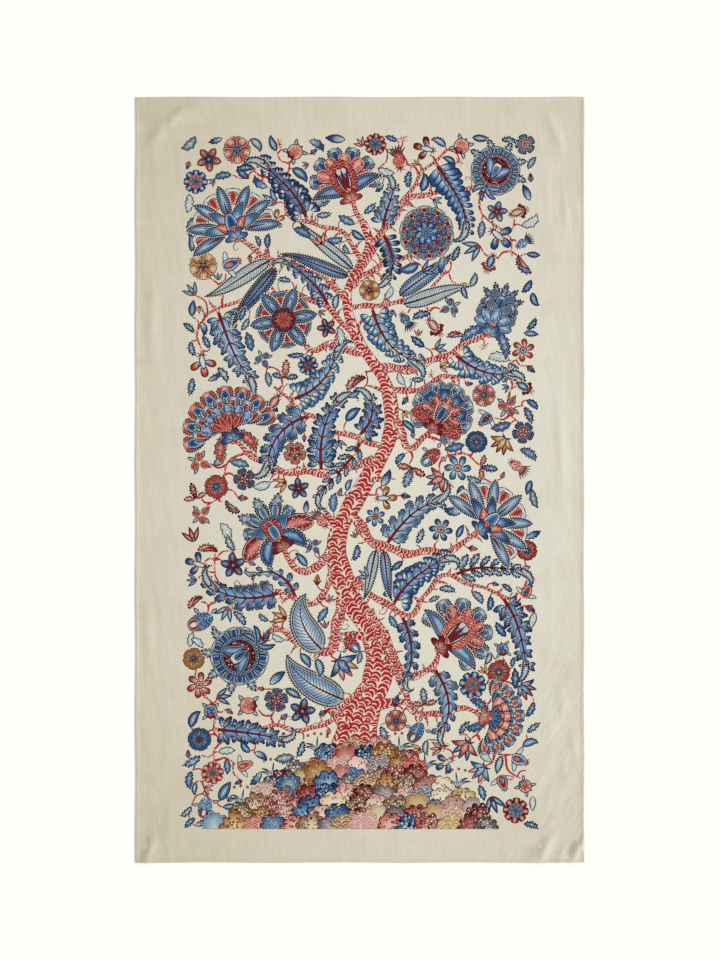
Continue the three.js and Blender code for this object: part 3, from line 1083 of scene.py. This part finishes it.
def cloth_point(x, y, top):
    """A flat place of the cloth, as a point of the lying cloth in metres."""
    near_x = smooth_end((WIDTH / 2 - abs(x)) / HEM_WIDTH)
    near_y = smooth_end((LENGTH / 2 - abs(y)) / HEM_WIDTH)
    side_x = math.copysign(1, x)
    side_y = math.copysign(1, y)
    out_x = x - side_x * near_x * edge_wave(y, side_x)
    out_y = y - side_y * near_y * edge_wave(x, 2 * side_y)
    edge = min(WIDTH / 2 - abs(x), LENGTH / 2 - abs(y))
    hem = HEM_RISE * (1 - smooth_end(edge / 1.2 + 0.4)) * smooth_end(max(edge - HEM_WIDTH + 1, 0) / 2)
    rise = THICKNESS + hem if top else 0.0
    return Vector((out_x, out_y, lift(x, y) + rise)) * MM


def grid_lines(size, step):
    """Places across the cloth: close in the hem and the margins, and wide apart in the field."""
    half = size / 2
    lines = [half - inside for inside in (0, 0.5, 1.6, HEM_WIDTH - 1, HEM_WIDTH, HEM_WIDTH + 1)]
    count = round((MARGIN - HEM_WIDTH - 1) / step)
    lines += [half - HEM_WIDTH - 1 - (MARGIN - HEM_WIDTH - 1) * (i + 1) / count for i in range(count)]
    fields = round((size - 2 * MARGIN) / FIELD_STEP)
    middle = [half - MARGIN - (size - 2 * MARGIN) * i / fields for i in range(1, fields)]
    return sorted(lines + middle + [-line for line in lines])


THIN = 0.02  # twice the area of the thinnest triangle that is kept, in square mm


def twice_area(a, b, c):
    """Twice a triangle's area, above 0 where its corners turn left."""
    return (b[0] - a[0]) * (c[1] - a[1]) - (c[0] - a[0]) * (b[1] - a[1])


def turn_left(triangle, outline):
    """The triangle with its corners in the order that turns left, or nothing where it is too thin."""
    area = twice_area(*(outline[i] for i in triangle))
    if abs(area) < THIN:
        return None
    return triangle if area > 0 else triangle[::-1]


def sides(face):
    """The edges of a face, in order."""
    return zip(face, face[1:] + face[:1])


# A source is a triangle of a patch, from which triangles of the cut cloth take their paint.
Source = namedtuple("Source", "patch corners places")
CUT_CLOSE = 1e-3  # points closer than this become one, in mm, in the first cut
RECUT_CLOSE = 1e-4  # and in the cuts after it


def cut_cloth():
    """Cuts the drawing into the flat cloth. Gives the sources and the cut."""
    xs = grid_lines(WIDTH, MARGIN_STEP)
    ys = grid_lines(LENGTH, MARGIN_STEP)
    points = [Vector((x, y)) for y in ys for x in xs]
    border = [j * len(xs) for j in range(len(ys))]
    edges = list(zip(border, border[1:]))
    faces = []
    sources = []
    for patch in sorted(patches, key=lambda patch: patch[:2]):
        first = len(points)
        points += [Vector(point) for point in patch.points]
        for triangle in patch.faces:
            turned = turn_left(triangle, patch.points)
            if turned is None:
                continue
            faces.append([first + i for i in turned])
            corners = [patch.points[i] for i in turned]
            sources.append(Source(patch, corners, [patch.places[i] for i in turned]))
    return sources, geometry.delaunay_2d_cdt(points, edges, faces, 0, CUT_CLOSE)


def shares_at(corners, x, y):
    """How much of a triangle's second and third corners a point has."""
    a, b, c = corners
    area = twice_area(a, b, c)
    return twice_area(a, (x, y), c) / area, twice_area(a, b, (x, y)) / area


def place_at(source, x, y):
    """The place in a patch's own frame at a point inside one of its triangles."""
    b, c = shares_at(source.corners, x, y)
    return tuple((1 - b - c) * i + b * j + c * k for i, j, k in zip(*source.places))


def top_source(origin, sources, x, y):
    """The source triangle painted last over a point, or nothing where the cloth is bare."""
    for number in sorted(origin, reverse=True):
        b, c = shares_at(sources[number].corners, x, y)
        if min(b, c, 1 - b - c) > -0.01:
            return number
    return None


def triangle_middle(flat, face):
    return sum(flat[i].x for i in face) / 3, sum(flat[i].y for i in face) / 3


OUTSIDE = "outside"
STRAIGHT = 0.05  # how far a point may lie off the line that replaces it, in mm


def runs_straight(flat, a, middle, b):
    first = flat[middle] - flat[a]
    second = flat[b] - flat[middle]
    reach = (flat[b] - flat[a]).length
    return first.dot(second) > 0 and abs(first.cross(second)) < STRAIGHT * reach


def edge_labels(cut, sources):
    """The source on the left of each edge of the cut."""
    flat, _, triangles, _, _, origins = cut
    left_of = {}
    for face, origin in zip(triangles, origins):
        label = top_source(origin, sources, *triangle_middle(flat, face))
        for a, b in sides(face):
            left_of[(a, b)] = label
    return left_of


def visible_edges(cut, sources):
    """The cut edges that show, joined where they run straight on, each with its left and right source."""
    flat = cut[0]
    left_of = edge_labels(cut, sources)
    shown = {}
    for (a, b), label in left_of.items():
        if a < b or (b, a) not in left_of:
            if label != left_of.get((b, a), OUTSIDE):
                shown.setdefault(a, []).append(b)
                shown.setdefault(b, []).append(a)
    for middle, ends in list(shown.items()):
        if len(ends) != 2 or not runs_straight(flat, ends[0], middle, ends[1]):
            continue
        a, b = ends
        if b in shown[a]:
            continue
        for end, far in ((a, b), (b, a)):
            shown[end][shown[end].index(middle)] = far
            left_of[(end, far)] = left_of.get((end, middle), OUTSIDE)
        del shown[middle]
    joined = [(a, b) for a in shown for b in shown[a] if a < b]
    return [(a, b, left_of.get((a, b), OUTSIDE), left_of.get((b, a), OUTSIDE)) for a, b in joined]


def margin_grid():
    """The grid's points in the bare margins. The field has none, apart from one in its middle."""
    grid = [(x, y) for y in grid_lines(LENGTH, MARGIN_STEP) for x in grid_lines(WIDTH, MARGIN_STEP)]
    return [Vector((x, y)) for x, y in grid
            if max(abs(x) - FIELD_RIGHT, abs(y) - FIELD_TOP) > 8 or (x, y) == (0, 0)]


def recut(cut, sources):
    """The cloth cut again along the edges that show. Gives points, triangles and their sources."""
    shown = visible_edges(cut, sources)
    flat = cut[0]
    number = {}
    for edge in shown:
        for i in edge[:2]:
            number.setdefault(i, len(number))
    points = [flat[i] for i in number]
    edges = [(number[a], number[b]) for a, b, _, _ in shown]
    again = geometry.delaunay_2d_cdt(points + margin_grid(), edges, [], 0, RECUT_CLOSE)
    out, out_edges, triangles, _, edge_origins, _ = again
    label_of = {}
    for (u, v), olds in zip(out_edges, edge_origins):
        for old in olds:
            if old >= len(edges):
                continue
            a, b = edges[old]
            same_way = (out[v] - out[u]).dot(points[b] - points[a]) > 0
            left, right = shown[old][2:] if same_way else shown[old][:1:-1]
            label_of[(u, v)] = left
            label_of[(v, u)] = right
    return out, triangles, spread_labels(triangles, label_of)


def spread_labels(triangles, label_of):
    """Each triangle's source, from the labels beside the cut edges, passed on across the free ones."""
    beside = {}
    labels = {}
    waiting = []
    for number, face in enumerate(triangles):
        for edge in sides(face):
            beside[edge] = number
            if edge in label_of and number not in labels:
                labels[number] = label_of[edge]
                waiting.append(number)
    while waiting:
        number = waiting.pop()
        for a, b in sides(triangles[number]):
            after = beside.get((b, a))
            if after is not None and (a, b) not in label_of and after not in labels:
                labels[after] = labels[number]
                waiting.append(after)
    return [labels.get(number) for number in range(len(triangles))]


MATERIALS = ["cotton", "wash", "round", "scales", "round scales", "curls"]
COLLAPSED = 1e-7  # twice the area, in square mm, under which a triangle is left out


def build_cloth():
    sources, first_cut = cut_cloth()
    flat, triangles, labels = recut(first_cut, sources)
    points = [cloth_point(p.x, p.y, True) for p in flat]
    faces = []
    tops = []
    for face, label in zip(triangles, labels):
        a, b, c = (flat[i] for i in face)
        if abs((b - a).cross(c - a)) >= COLLAPSED:
            faces.append(tuple(face))
            tops.append(label)
    close_sheet(flat, points, faces)
    mesh = bpy.data.meshes.new("panel_cloth")
    mesh.from_pydata(points, [], faces)
    add_attributes(mesh, flat, sources, tops)
    piece = bpy.data.objects.new("panel_cloth", mesh)
    bpy.context.scene.collection.objects.link(piece)
    return piece


def outer_loop(faces):
    """The points round the outside of some faces, in order."""
    used = {edge for face in faces for edge in sides(face)}
    after = {a: b for face in faces for a, b in sides(face) if (b, a) not in used}
    loop = [min(after)]
    while after[loop[-1]] != loop[0]:
        loop.append(after[loop[-1]])
    return loop


def under_grid():
    """Even points for the underside, half a step inside the outline."""
    half_x = WIDTH / 2 - UNDER_STEP / 2
    half_y = LENGTH / 2 - UNDER_STEP / 2
    columns = round(2 * half_x / UNDER_STEP)
    rows = round(2 * half_y / UNDER_STEP)
    return [
        Vector((-half_x + 2 * half_x * i / columns, -half_y + 2 * half_y * j / rows))
        for j in range(rows + 1)
        for i in range(columns + 1)
    ]


def close_sheet(flat, points, faces):
    """Adds the underside and the narrow edge under a cut top."""
    loop = outer_loop(faces)
    outline = [flat[i] for i in loop]
    border = [[i, (i + 1) % len(outline)] for i in range(len(outline))]
    cut = geometry.delaunay_2d_cdt(outline + under_grid(), border, [], 1, RECUT_CLOSE)
    under, _, triangles, origin, *_ = cut
    first = len(points)
    points += [cloth_point(p.x, p.y, False) for p in under]
    number = {old: first + i for i, olds in enumerate(origin) for old in olds}
    for face in triangles:
        a, b, c = (under[i] for i in face)
        turned = face if (b - a).cross(c - a) < 0 else list(reversed(face))
        faces.append(tuple(first + i for i in turned))
    for i, top in enumerate(loop):
        next_i = (i + 1) % len(loop)
        faces.append((top, number[i], number[next_i]))
        faces.append((top, number[next_i], loop[next_i]))


def add_attributes(mesh, flat, sources, tops):
    """Gives each painted face what its paint reads, and each corner its place in its patch."""
    count = len(mesh.polygons)
    place = np.zeros((len(mesh.loops), 3), np.float32)
    numbers = {name: np.zeros((count, 3), np.float32) for name in ("extent", "fade", "marks", "dots")}
    colours = {name: np.ones((count, 4), np.float32) for name in ("ink", "wash", "pale")}
    material = np.zeros(count, np.int32)
    for number, top in enumerate(tops):
        if top is None or top == OUTSIDE:
            continue
        patch = sources[top].patch
        polygon = mesh.polygons[number]
        for corner, vertex in zip(polygon.loop_indices, polygon.vertices):
            place[corner] = place_at(sources[top], flat[vertex].x, flat[vertex].y)
        numbers["extent"][number] = patch.extent
        for name in ("fade", "marks", "dots"):
            numbers[name][number] = getattr(patch.fill, name)
        for name, values in colours.items():
            values[number] = getattr(patch.paint, name)
        material[number] = MATERIALS.index(patch.fill.material)
    mesh.attributes.new("place", "FLOAT_VECTOR", "CORNER").data.foreach_set("vector", place.ravel())
    for name, values in numbers.items():
        mesh.attributes.new(name, "FLOAT_VECTOR", "FACE").data.foreach_set("vector", values.ravel())
    for name, values in colours.items():
        mesh.attributes.new(name, "FLOAT_COLOR", "FACE").data.foreach_set("color", values.ravel())
    mesh.polygons.foreach_set("material_index", material)
    mesh.polygons.foreach_set("use_smooth", np.ones(count, bool))
    add_bake_map(mesh)


TOP_SHARE = 0.88  # how much of the bake map's width the painted face takes
UNDER_START = TOP_SHARE + 0.01  # where the strip of the underside starts
UNDER_SHARE = 0.98 - TOP_SHARE  # and how much of the width it takes
MAP_MARGIN = 4  # mm


def add_bake_map(mesh):
    """A flat map of the cloth: the painted face over most of it, and the underside in a strip beside it."""
    layer = mesh.uv_layers.new(name="OFBake")
    uv = np.zeros((len(mesh.loops), 2), np.float32)
    for polygon in mesh.polygons:
        facing_up = polygon.normal.z > 0.2
        for corner, vertex in zip(polygon.loop_indices, polygon.vertices):
            point = mesh.vertices[vertex].co / MM
            across = 0.5 + point.x / (WIDTH + MAP_MARGIN)
            up = 0.5 + point.y / (LENGTH + MAP_MARGIN)
            uv[corner] = (across * TOP_SHARE if facing_up else UNDER_START + across * UNDER_SHARE, up)
    layer.data.foreach_set("uv", uv.ravel())


# Materials.


class Wire:
    """One output of a node, with the sums that the paints need."""

    def __init__(self, tree, socket):
        self.tree = tree
        self.socket = socket

    def sum(self, operation, *others):
        return add_node(self.tree, "Math", enumerate((self, *others)), operation=operation)

    def __add__(self, other):
        return self.sum("ADD", other)

    def __sub__(self, other):
        return self.sum("SUBTRACT", other)

    def __mul__(self, other):
        return self.sum("MULTIPLY", other)

    __radd__ = __add__
    __rmul__ = __mul__

    def __truediv__(self, other):
        return self.sum("DIVIDE", other)

    def step(self, start, end):
        """0 at or before start and 1 at or past end, smooth between them. start may be the larger."""
        inputs = {"Value": self, "From Min": start, "From Max": end}
        return add_node(self.tree, "MapRange", inputs, "Result", interpolation_type="SMOOTHSTEP")


def plug(tree, value, socket):
    if isinstance(value, Wire):
        tree.links.new(value.socket, socket)
    else:
        socket.default_value = value


def add_node(tree, kind, inputs=(), output=0, **settings):
    """A shader node with its settings and its inputs, wires or plain values. Gives one of its outputs."""
    node = tree.nodes.new("ShaderNode" + kind)
    for name, value in settings.items():
        setattr(node, name, value)
    for key, value in dict(inputs).items():
        plug(tree, value, node.inputs[key])
    return Wire(tree, node.outputs[output])


def all_outputs(wire):
    """Every output of the node that a wire comes from."""
    return [Wire(wire.tree, output) for output in wire.socket.node.outputs]


def attribute(tree, name, output):
    return add_node(tree, "Attribute", output=output, attribute_name=name)


def split(tree, place):
    """The three numbers of a vector."""
    return all_outputs(add_node(tree, "SeparateXYZ", {0: place}))


def parts(tree, name):
    """The three numbers of a vector attribute."""
    return split(tree, attribute(tree, name, "Vector"))


def mix(tree, share, first, second):
    return add_node(tree, "Mix", {"Factor": share, "A": first, "B": second}, "Result", data_type="RGBA")


def noise(tree, place, scale, detail=2.0):
    return add_node(tree, "TexNoise", {"Scale": scale, "Detail": detail, "Vector": place})


def vector(tree, x, y):
    return add_node(tree, "CombineXYZ", enumerate((x, y)))


def cloth_place(tree):
    """Where a point is on the cloth, in metres."""
    return add_node(tree, "TexCoord", output="Object")


def voronoi(tree, place, randomness, feature="F1", output="Distance"):
    inputs = {"Scale": 1.0, "Randomness": randomness, "Vector": place}
    return add_node(tree, "TexVoronoi", inputs, output, feature=feature)


def new_group(name, colours, numbers):
    """A node group with colours and numbers as its outputs."""
    group = bpy.data.node_groups.new(name, "ShaderNodeTree")
    for output in colours + numbers:
        kind = "NodeSocketColor" if output in colours else "NodeSocketFloat"
        group.interface.new_socket(output, in_out="OUTPUT", socket_type=kind)
    return group, group.nodes.new("NodeGroupOutput")


# Bare cotton. Lengths are in metres, and the shares say how far a tone goes from the cream of the middle.
THREAD_ACROSS = 0.00062  # from one warp thread to the next but one
THREAD_ALONG = 0.00058  # the same of the weft
DARKER_ENDS = 0.42
# painted shade: the cotton darkens to the left, where the light from the right falls off
SHADED_LEFT = 0.5
DARKER_RIGHT = 0.14
AGED_CLOUDS = 0.22
STAINED = 0.3
PINK_PATCHES = 0.24

# What each layer adds to the tone of the threads, and to the height of the surface. The crease tone is
# painted shade and light along the fine creases, beside their bump.
WEAVE_TONE, STREAK_TONE, WEFT_TONE, PATCH_TONE, CREASE_SHADE = 0.03, 0.09, 0.06, 0.07, 0.05
WEAVE_RISE, STREAK_RISE, WEFT_RISE, CLOUD_RISE, CREASE_RISE = 0.12, 0.35, 0.25, 3.0, 8.0


def shaded_stained_cotton(group, here, x, y, cloud, patch, margin):
    """The colour: cream in the middle right, darker to the ends and at the right edge, with painted shade
    darker to the left, stained in the margins.
    """
    # painted shade darkens the colour towards the left; the ends and the right edge are also made darker
    left = (x * -1.3 + 0.26).sum("MAXIMUM", 0.0)
    ends = (y * y) * DARKER_ENDS
    darkening = ends + (left * left) * SHADED_LEFT + x.step(0.52, 0.6) * DARKER_RIGHT + (cloud - 0.5) * AGED_CLOUDS
    stain = noise(group, here, 7.0, 4.0).step(0.5, 0.76) * margin
    bare = mix(group, darkening, COTTON, DARKER_COTTON)
    bare = mix(group, stain * STAINED, bare, STAIN)
    return mix(group, patch.step(0.52, 0.7) * PINK_PATCHES, bare, PINKISH)


def small_creases(group, x, y, margin):
    """Fine creases along the margins, which turn to slanted pulls at the lower right. They raise the bump,
    and also paint shade and light into the tone.
    """
    rumple = noise(group, vector(group, x * 34.0 + y * 5.0, y * 9.0), 1.0, 3.0)
    pull = noise(group, vector(group, x * -29.0 + y * 17.0, x * 4.5 + y * 7.8), 1.0, 3.0)
    low = y.step(-0.25, -0.6) * x.step(0.2, 0.5)
    return ((rumple - 0.5) * (low * -0.6 + 1.0) + (pull - 0.5) * low * 1.5) * margin


def cotton_group():
    """Bare cotton: its colour, the tone of its threads and slubs with painted shade and light along fine
    creases, and its height.
    """
    group, end = new_group("cotton", ["Bare"], ["Threads", "Height"])
    here = cloth_place(group)
    x, y, _ = split(group, here)
    side = x.sum("ABSOLUTE") / (FIELD_RIGHT * MM)
    end_on = y.sum("ABSOLUTE") / (FIELD_TOP * MM)
    cloud = noise(group, here, 3.2, 3.0)
    patch = noise(group, here, 21.0, 3.0)
    margin = (side.sum("MAXIMUM", end_on) + (cloud - 0.5) * 0.3).step(0.8, 1.12)
    streak = noise(group, vector(group, x * 160.0, y * 4.0), 1.0) - 0.5
    weft = noise(group, vector(group, x * 5.0, y * 210.0), 1.0) - 0.5
    thread_x = (x * (2 * math.pi / THREAD_ACROSS)).sum("SINE")
    thread_y = (y * (2 * math.pi / THREAD_ALONG)).sum("SINE")
    weave = thread_x * thread_y
    creased = small_creases(group, x, y, margin)
    threads = streak * STREAK_TONE + weft * WEFT_TONE + (patch - 0.5) * PATCH_TONE
    threads = threads + weave * WEAVE_TONE + 1.0
    height = weave * WEAVE_RISE + streak * STREAK_RISE + weft * WEFT_RISE + (cloud - 0.5) * CLOUD_RISE
    plug(group, shaded_stained_cotton(group, here, x, y, cloud, patch, margin), end.inputs["Bare"])
    # the thread tone also carries painted shade and light along the fine creases
    plug(group, threads + creased * CREASE_SHADE, end.inputs["Threads"])
    plug(group, height + creased * CREASE_RISE, end.inputs["Height"])


COTTON_FINISH = {
    "Roughness": 0.92,
    "Specular IOR Level": 0.1,
    "Sheen Weight": 0.03,
    "Sheen Roughness": 0.6,
}
BUMP_STRENGTH = 0.5
BUMP_DISTANCE = 0.0006


def finish_material(tree, painted=None, cover=None):
    """Sets paint on the cotton: cover is how much of it hides the bare cloth."""
    shader = tree.nodes["Principled BSDF"]
    for name, value in COTTON_FINISH.items():
        shader.inputs[name].default_value = value
    cotton = add_node(tree, "Group", node_tree=bpy.data.node_groups["cotton"])
    bare, threads, height = all_outputs(cotton)
    surface = bare if painted is None else mix(tree, cover, bare, painted)
    # the tone scales the colour by threads and slubs, and by painted shade and light along the fine creases
    toned = add_node(tree, "VectorMath", {0: surface, "Scale": threads}, operation="SCALE")
    plug(tree, toned, shader.inputs["Base Color"])
    bump = {"Strength": BUMP_STRENGTH, "Distance": BUMP_DISTANCE, "Height": height}
    plug(tree, add_node(tree, "Bump", bump), shader.inputs["Normal"])


def new_material(name):
    material = bpy.data.materials.new(name)
    material.use_nodes = True
    return material, material.node_tree


# How the brush and the pen work, in mm.
PEN = 3.0  # the width of a pen line
PEN_THIN = 1.9  # on small patches
RIM = 4.3  # how far in the bare line inside the pen line reaches
FRINGE_PITCH = 6.4  # from one hair of a fringe to the next
WANDER = 0.9  # how far a drawn edge wanders
INKED = (0.3, -0.4)  # past the inner edge of a pen line, from bare to full ink
COVERED = (-0.3, 0.2)  # past the edge of a patch, from bare cloth to full paint
BARK_PEN = (1.9, 1.3)  # inside the edge of a scaly patch, from wash to full ink

# How bark and fish scales are drawn, in shares of their pitch.
SCALE_SHORTER = 1.9  # how much closer they stand along the patch than across it
SCALE_LOOSE = 0.45  # how unevenly they stand
SCALE_ROUND = 0.55  # what makes one scale round again
CRESCENT_OUT, CRESCENT_IN = (0.57, 0.53), (0.4, 0.44)
CORE_OUT, CORE_IN = (0.34, 0.3), (0.1, 0.14)
CURL_LOOSE = 0.8  # how unevenly curls stand


class Reading:
    """What a paint reads: its place and extent, the brush's marks, three colours and a wobble."""

    def __init__(self, tree):
        self.place = parts(tree, "place")
        self.extent = parts(tree, "extent")
        self.marks = parts(tree, "marks")
        self.colours = [attribute(tree, name, "Color") for name in ("ink", "wash", "pale")]
        self.here = cloth_place(tree)
        self.wobble = noise(tree, self.here, 130.0) - 0.5


def reach_from(ahead, aside):
    return (ahead * ahead + aside * aside).sum("SQRT")


def wash_frame(read, is_round):
    """How far along, across and slanted a point of a patch lies, and how far inside its edge."""
    first, second, third = read.place
    if is_round:
        along = reach_from(first, second)
        inside = third + read.wobble * WANDER
        return along, second.sum("ARCTAN2", first) * (0.5 / math.pi), along, inside
    inside = third - second.sum("ABSOLUTE") + read.wobble * WANDER
    return first, second / third.sum("MAXIMUM", 0.05), first - second.sum("ABSOLUTE") * 0.8, inside


def faded(tree, read, along, inside):
    """The wash, from where the brush was full, nearly ink, to where it ran out, nearly bare."""
    length, wide, _ = read.extent
    ink, wash, pale = read.colours
    fade_along, fade_in, fade_start = parts(tree, "fade")
    mottle = noise(tree, read.here, 55.0) - 0.5
    fade = fade_start + fade_along * (along / length) + fade_in * (inside / wide) + mottle * 0.5
    deep = mix(tree, fade.step(-0.7, 0.2), mix(tree, 0.6, wash, ink), wash)
    body = mix(tree, fade.step(0.15, 0.8), deep, pale)
    return mix(tree, fade.step(0.75, 1.3) * 0.85, body, COTTON)


def dotted(tree, read, body):
    """The same paint with dots of ink or of bare cloth."""
    first, second, _ = read.place
    pitch, size, tone = parts(tree, "dots")
    grid = vector(tree, (first + read.extent[2] * 7.0) * pitch, second * pitch)
    dot = voronoi(tree, grid, 1.0).step(size + 0.06, size - 0.04) * pitch.step(0.0, 0.01)
    return mix(tree, dot * 0.85, body, mix(tree, tone.step(0.0, 0.5), read.colours[0], COTTON))


def paint_wash(tree, read, is_round):
    """A pen outline, a bare rim, a wash that thins out, with veins, dots or a hairy edge."""
    length, wide, _ = read.extent
    veins, side_veins, fringe = read.marks
    ink = read.colours[0]
    along, across, slant, inside = wash_frame(read, is_round)
    body = faded(tree, read, along, inside)
    phase = across * veins + slant * side_veins
    vein = (phase.sum("FRACT") - 0.5).sum("ABSOLUTE").step(0.2, 0.08)
    has_veins = (veins + side_veins).step(0.0, 0.05)
    body = dotted(tree, read, mix(tree, vein * has_veins * 0.75, body, ink))
    line = PEN_THIN + (PEN - PEN_THIN) * wide.step(4.0, 14.0)
    if is_round:
        edge = inside
        pen = (edge - line).step(*INKED)
    else:
        tooth = ((along + inside * 0.7) / FRINGE_PITCH).sum("FRACT")
        reach = fringe * wide.step(3.0, 16.0)
        edge = (inside - reach * tooth).sum("MINIMUM", length - along)
        teeth = (inside - reach * 0.7 - line).step(*INKED) * reach.step(0.0, 0.6)
        pen = (edge - line).step(*INKED).sum("MAXIMUM", teeth)
    rim = edge.step(RIM + 0.5, RIM - 0.3)
    body = mix(tree, rim * wide.step(12.0, 20.0) * 0.7, body, COTTON)
    return mix(tree, pen * wide.step(1.2, 3.0), body, ink), edge


def paint_scales(tree, read, is_round):
    """Curved brush strokes in rows, like bark or fish scales, on bare cloth."""
    first, second, third = read.place
    pitch = read.marks[0]
    ink, wash, pale = read.colours
    edge = (third if is_round else third - second.sum("ABSOLUTE")) + read.wobble * WANDER
    scaled = vector(tree, first * pitch * SCALE_SHORTER + read.extent[2], second * pitch)
    middle = voronoi(tree, scaled, SCALE_LOOSE, output="Position")
    offset = add_node(tree, "VectorMath", {0: scaled, 1: middle}, operation="SUBTRACT")
    ahead, aside, _ = split(tree, offset)
    ahead = ahead * SCALE_ROUND
    reach = reach_from(ahead + 0.24, aside) + read.wobble * 0.06
    inner = reach_from(ahead + 0.4, aside) + read.wobble * 0.06
    crescent = reach.step(*CRESCENT_OUT) * inner.step(*CRESCENT_IN)
    core = inner.step(*CORE_OUT) * inner.step(*CORE_IN)
    stroked = mix(tree, reach.step(0.3, 0.55) * 0.5, wash, ink)
    body = mix(tree, crescent.sum("MAXIMUM", core), pale, stroked)
    return mix(tree, edge.step(*BARK_PEN) * 0.8, body, ink), edge


def paint_curls(tree, read, _):
    """Small curls of ink around bare spots, or a net of ink around cells, as the second mark says."""
    first, second, third = read.place
    length, _, seed = read.extent
    pitch, net_share, _ = read.marks
    ink, wash, pale = read.colours
    grid = vector(tree, first * pitch + seed, second * pitch)
    reach = voronoi(tree, grid, CURL_LOOSE)
    border = voronoi(tree, grid, CURL_LOOSE, "DISTANCE_TO_EDGE")
    curl = (reach - 0.34).sum("ABSOLUTE").step(0.17, 0.07)
    along = reach_from(first, second) / length
    body = mix(tree, along.step(0.1, 0.95), pale, wash)
    curled = mix(tree, reach.step(0.2, 0.12), mix(tree, curl, body, ink), COTTON)
    netted = mix(tree, reach.step(0.36, 0.2), mix(tree, border.step(0.14, 0.06), body, ink), COTTON)
    edge = third + read.wobble * WANDER
    return mix(tree, edge.step(PEN + 0.6, PEN), mix(tree, net_share, curled, netted), ink), edge


PAINTERS = {"wash": paint_wash, "round": paint_wash, "scales": paint_scales, "round scales": paint_scales,
            "curls": paint_curls}


def make_materials(piece):
    """Bare cotton, and one material for each way to fill a patch, in the order of MATERIALS."""
    cotton_group()
    plain, tree = new_material("bare_cotton")
    finish_material(tree)
    piece.data.materials.append(plain)
    for name in MATERIALS[1:]:
        material, tree = new_material("painted_" + name.replace(" ", "_"))
        body, edge = PAINTERS[name](tree, Reading(tree), name.startswith("round"))
        finish_material(tree, body, edge.step(*COVERED))
        piece.data.materials.append(material)


# The stage.
FLOOR_SIZE = 14
FLOOR_DROP = 0.0004
FLOOR_COLOUR = (0.9, 0.895, 0.87, 1.0)
AMBIENT = 0.72
AMBIENT_COLOUR = (1.0, 0.995, 0.98, 1.0)
WINDOW = 0.40  # the share of the light that comes from one side
WINDOW_WAY = (1.0, -0.25, 0.5)
WINDOW_ANGLE = 24  # how wide the window looks, in degrees


def make_floor():
    bpy.ops.mesh.primitive_plane_add(size=FLOOR_SIZE, location=(0, 0, -FLOOR_DROP))
    floor = bpy.context.object
    floor.name = "floor"
    material, tree = new_material("floor_paper")
    tree.nodes["Principled BSDF"].inputs["Base Color"].default_value = FLOOR_COLOUR
    tree.nodes["Principled BSDF"].inputs["Roughness"].default_value = 0.9
    floor.data.materials.append(material)


def make_light():
    """Even light from all round, and a soft light from the right that shows the creases."""
    world = bpy.data.worlds.new("studio")
    bpy.context.scene.world = world
    world.use_nodes = True
    world.node_tree.nodes["Background"].inputs["Color"].default_value = AMBIENT_COLOUR
    world.node_tree.nodes["Background"].inputs["Strength"].default_value = AMBIENT
    lamp = bpy.data.lights.new("window", "SUN")
    way = Vector(WINDOW_WAY).normalized()
    lamp.energy = WINDOW * math.pi / way.z
    lamp.angle = math.radians(WINDOW_ANGLE)
    body = bpy.data.objects.new("window", lamp)
    body.rotation_euler = way.to_track_quat("Z", "Y").to_euler()
    bpy.context.scene.collection.objects.link(body)


FRAME_HEIGHT = 2.566  # metres of floor that the picture takes in, from top to bottom
LENS = 85.0
SENSOR = 36.0


def make_camera():
    lens = bpy.data.cameras.new("camera")
    lens.lens = LENS
    lens.sensor_width = SENSOR
    camera = bpy.data.objects.new("camera", lens)
    camera.location = (0.0, 0.0, FRAME_HEIGHT * LENS / SENSOR)
    bpy.context.scene.collection.objects.link(camera)
    bpy.context.scene.camera = camera
    bpy.context.scene.view_settings.view_transform = "Standard"


draw_tree()
draw_sprouts()
for _ in range(3):
    draw_long_leaves(10)
    draw_middle(10, 31)
draw_long_leaves(30, 0.8)
draw_middle(60, 25)
draw_fillers()
draw_mound()
cloth = build_cloth()
make_materials(cloth)
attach(cloth, "root")
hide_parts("cloth")
make_floor()
make_light()
make_camera()
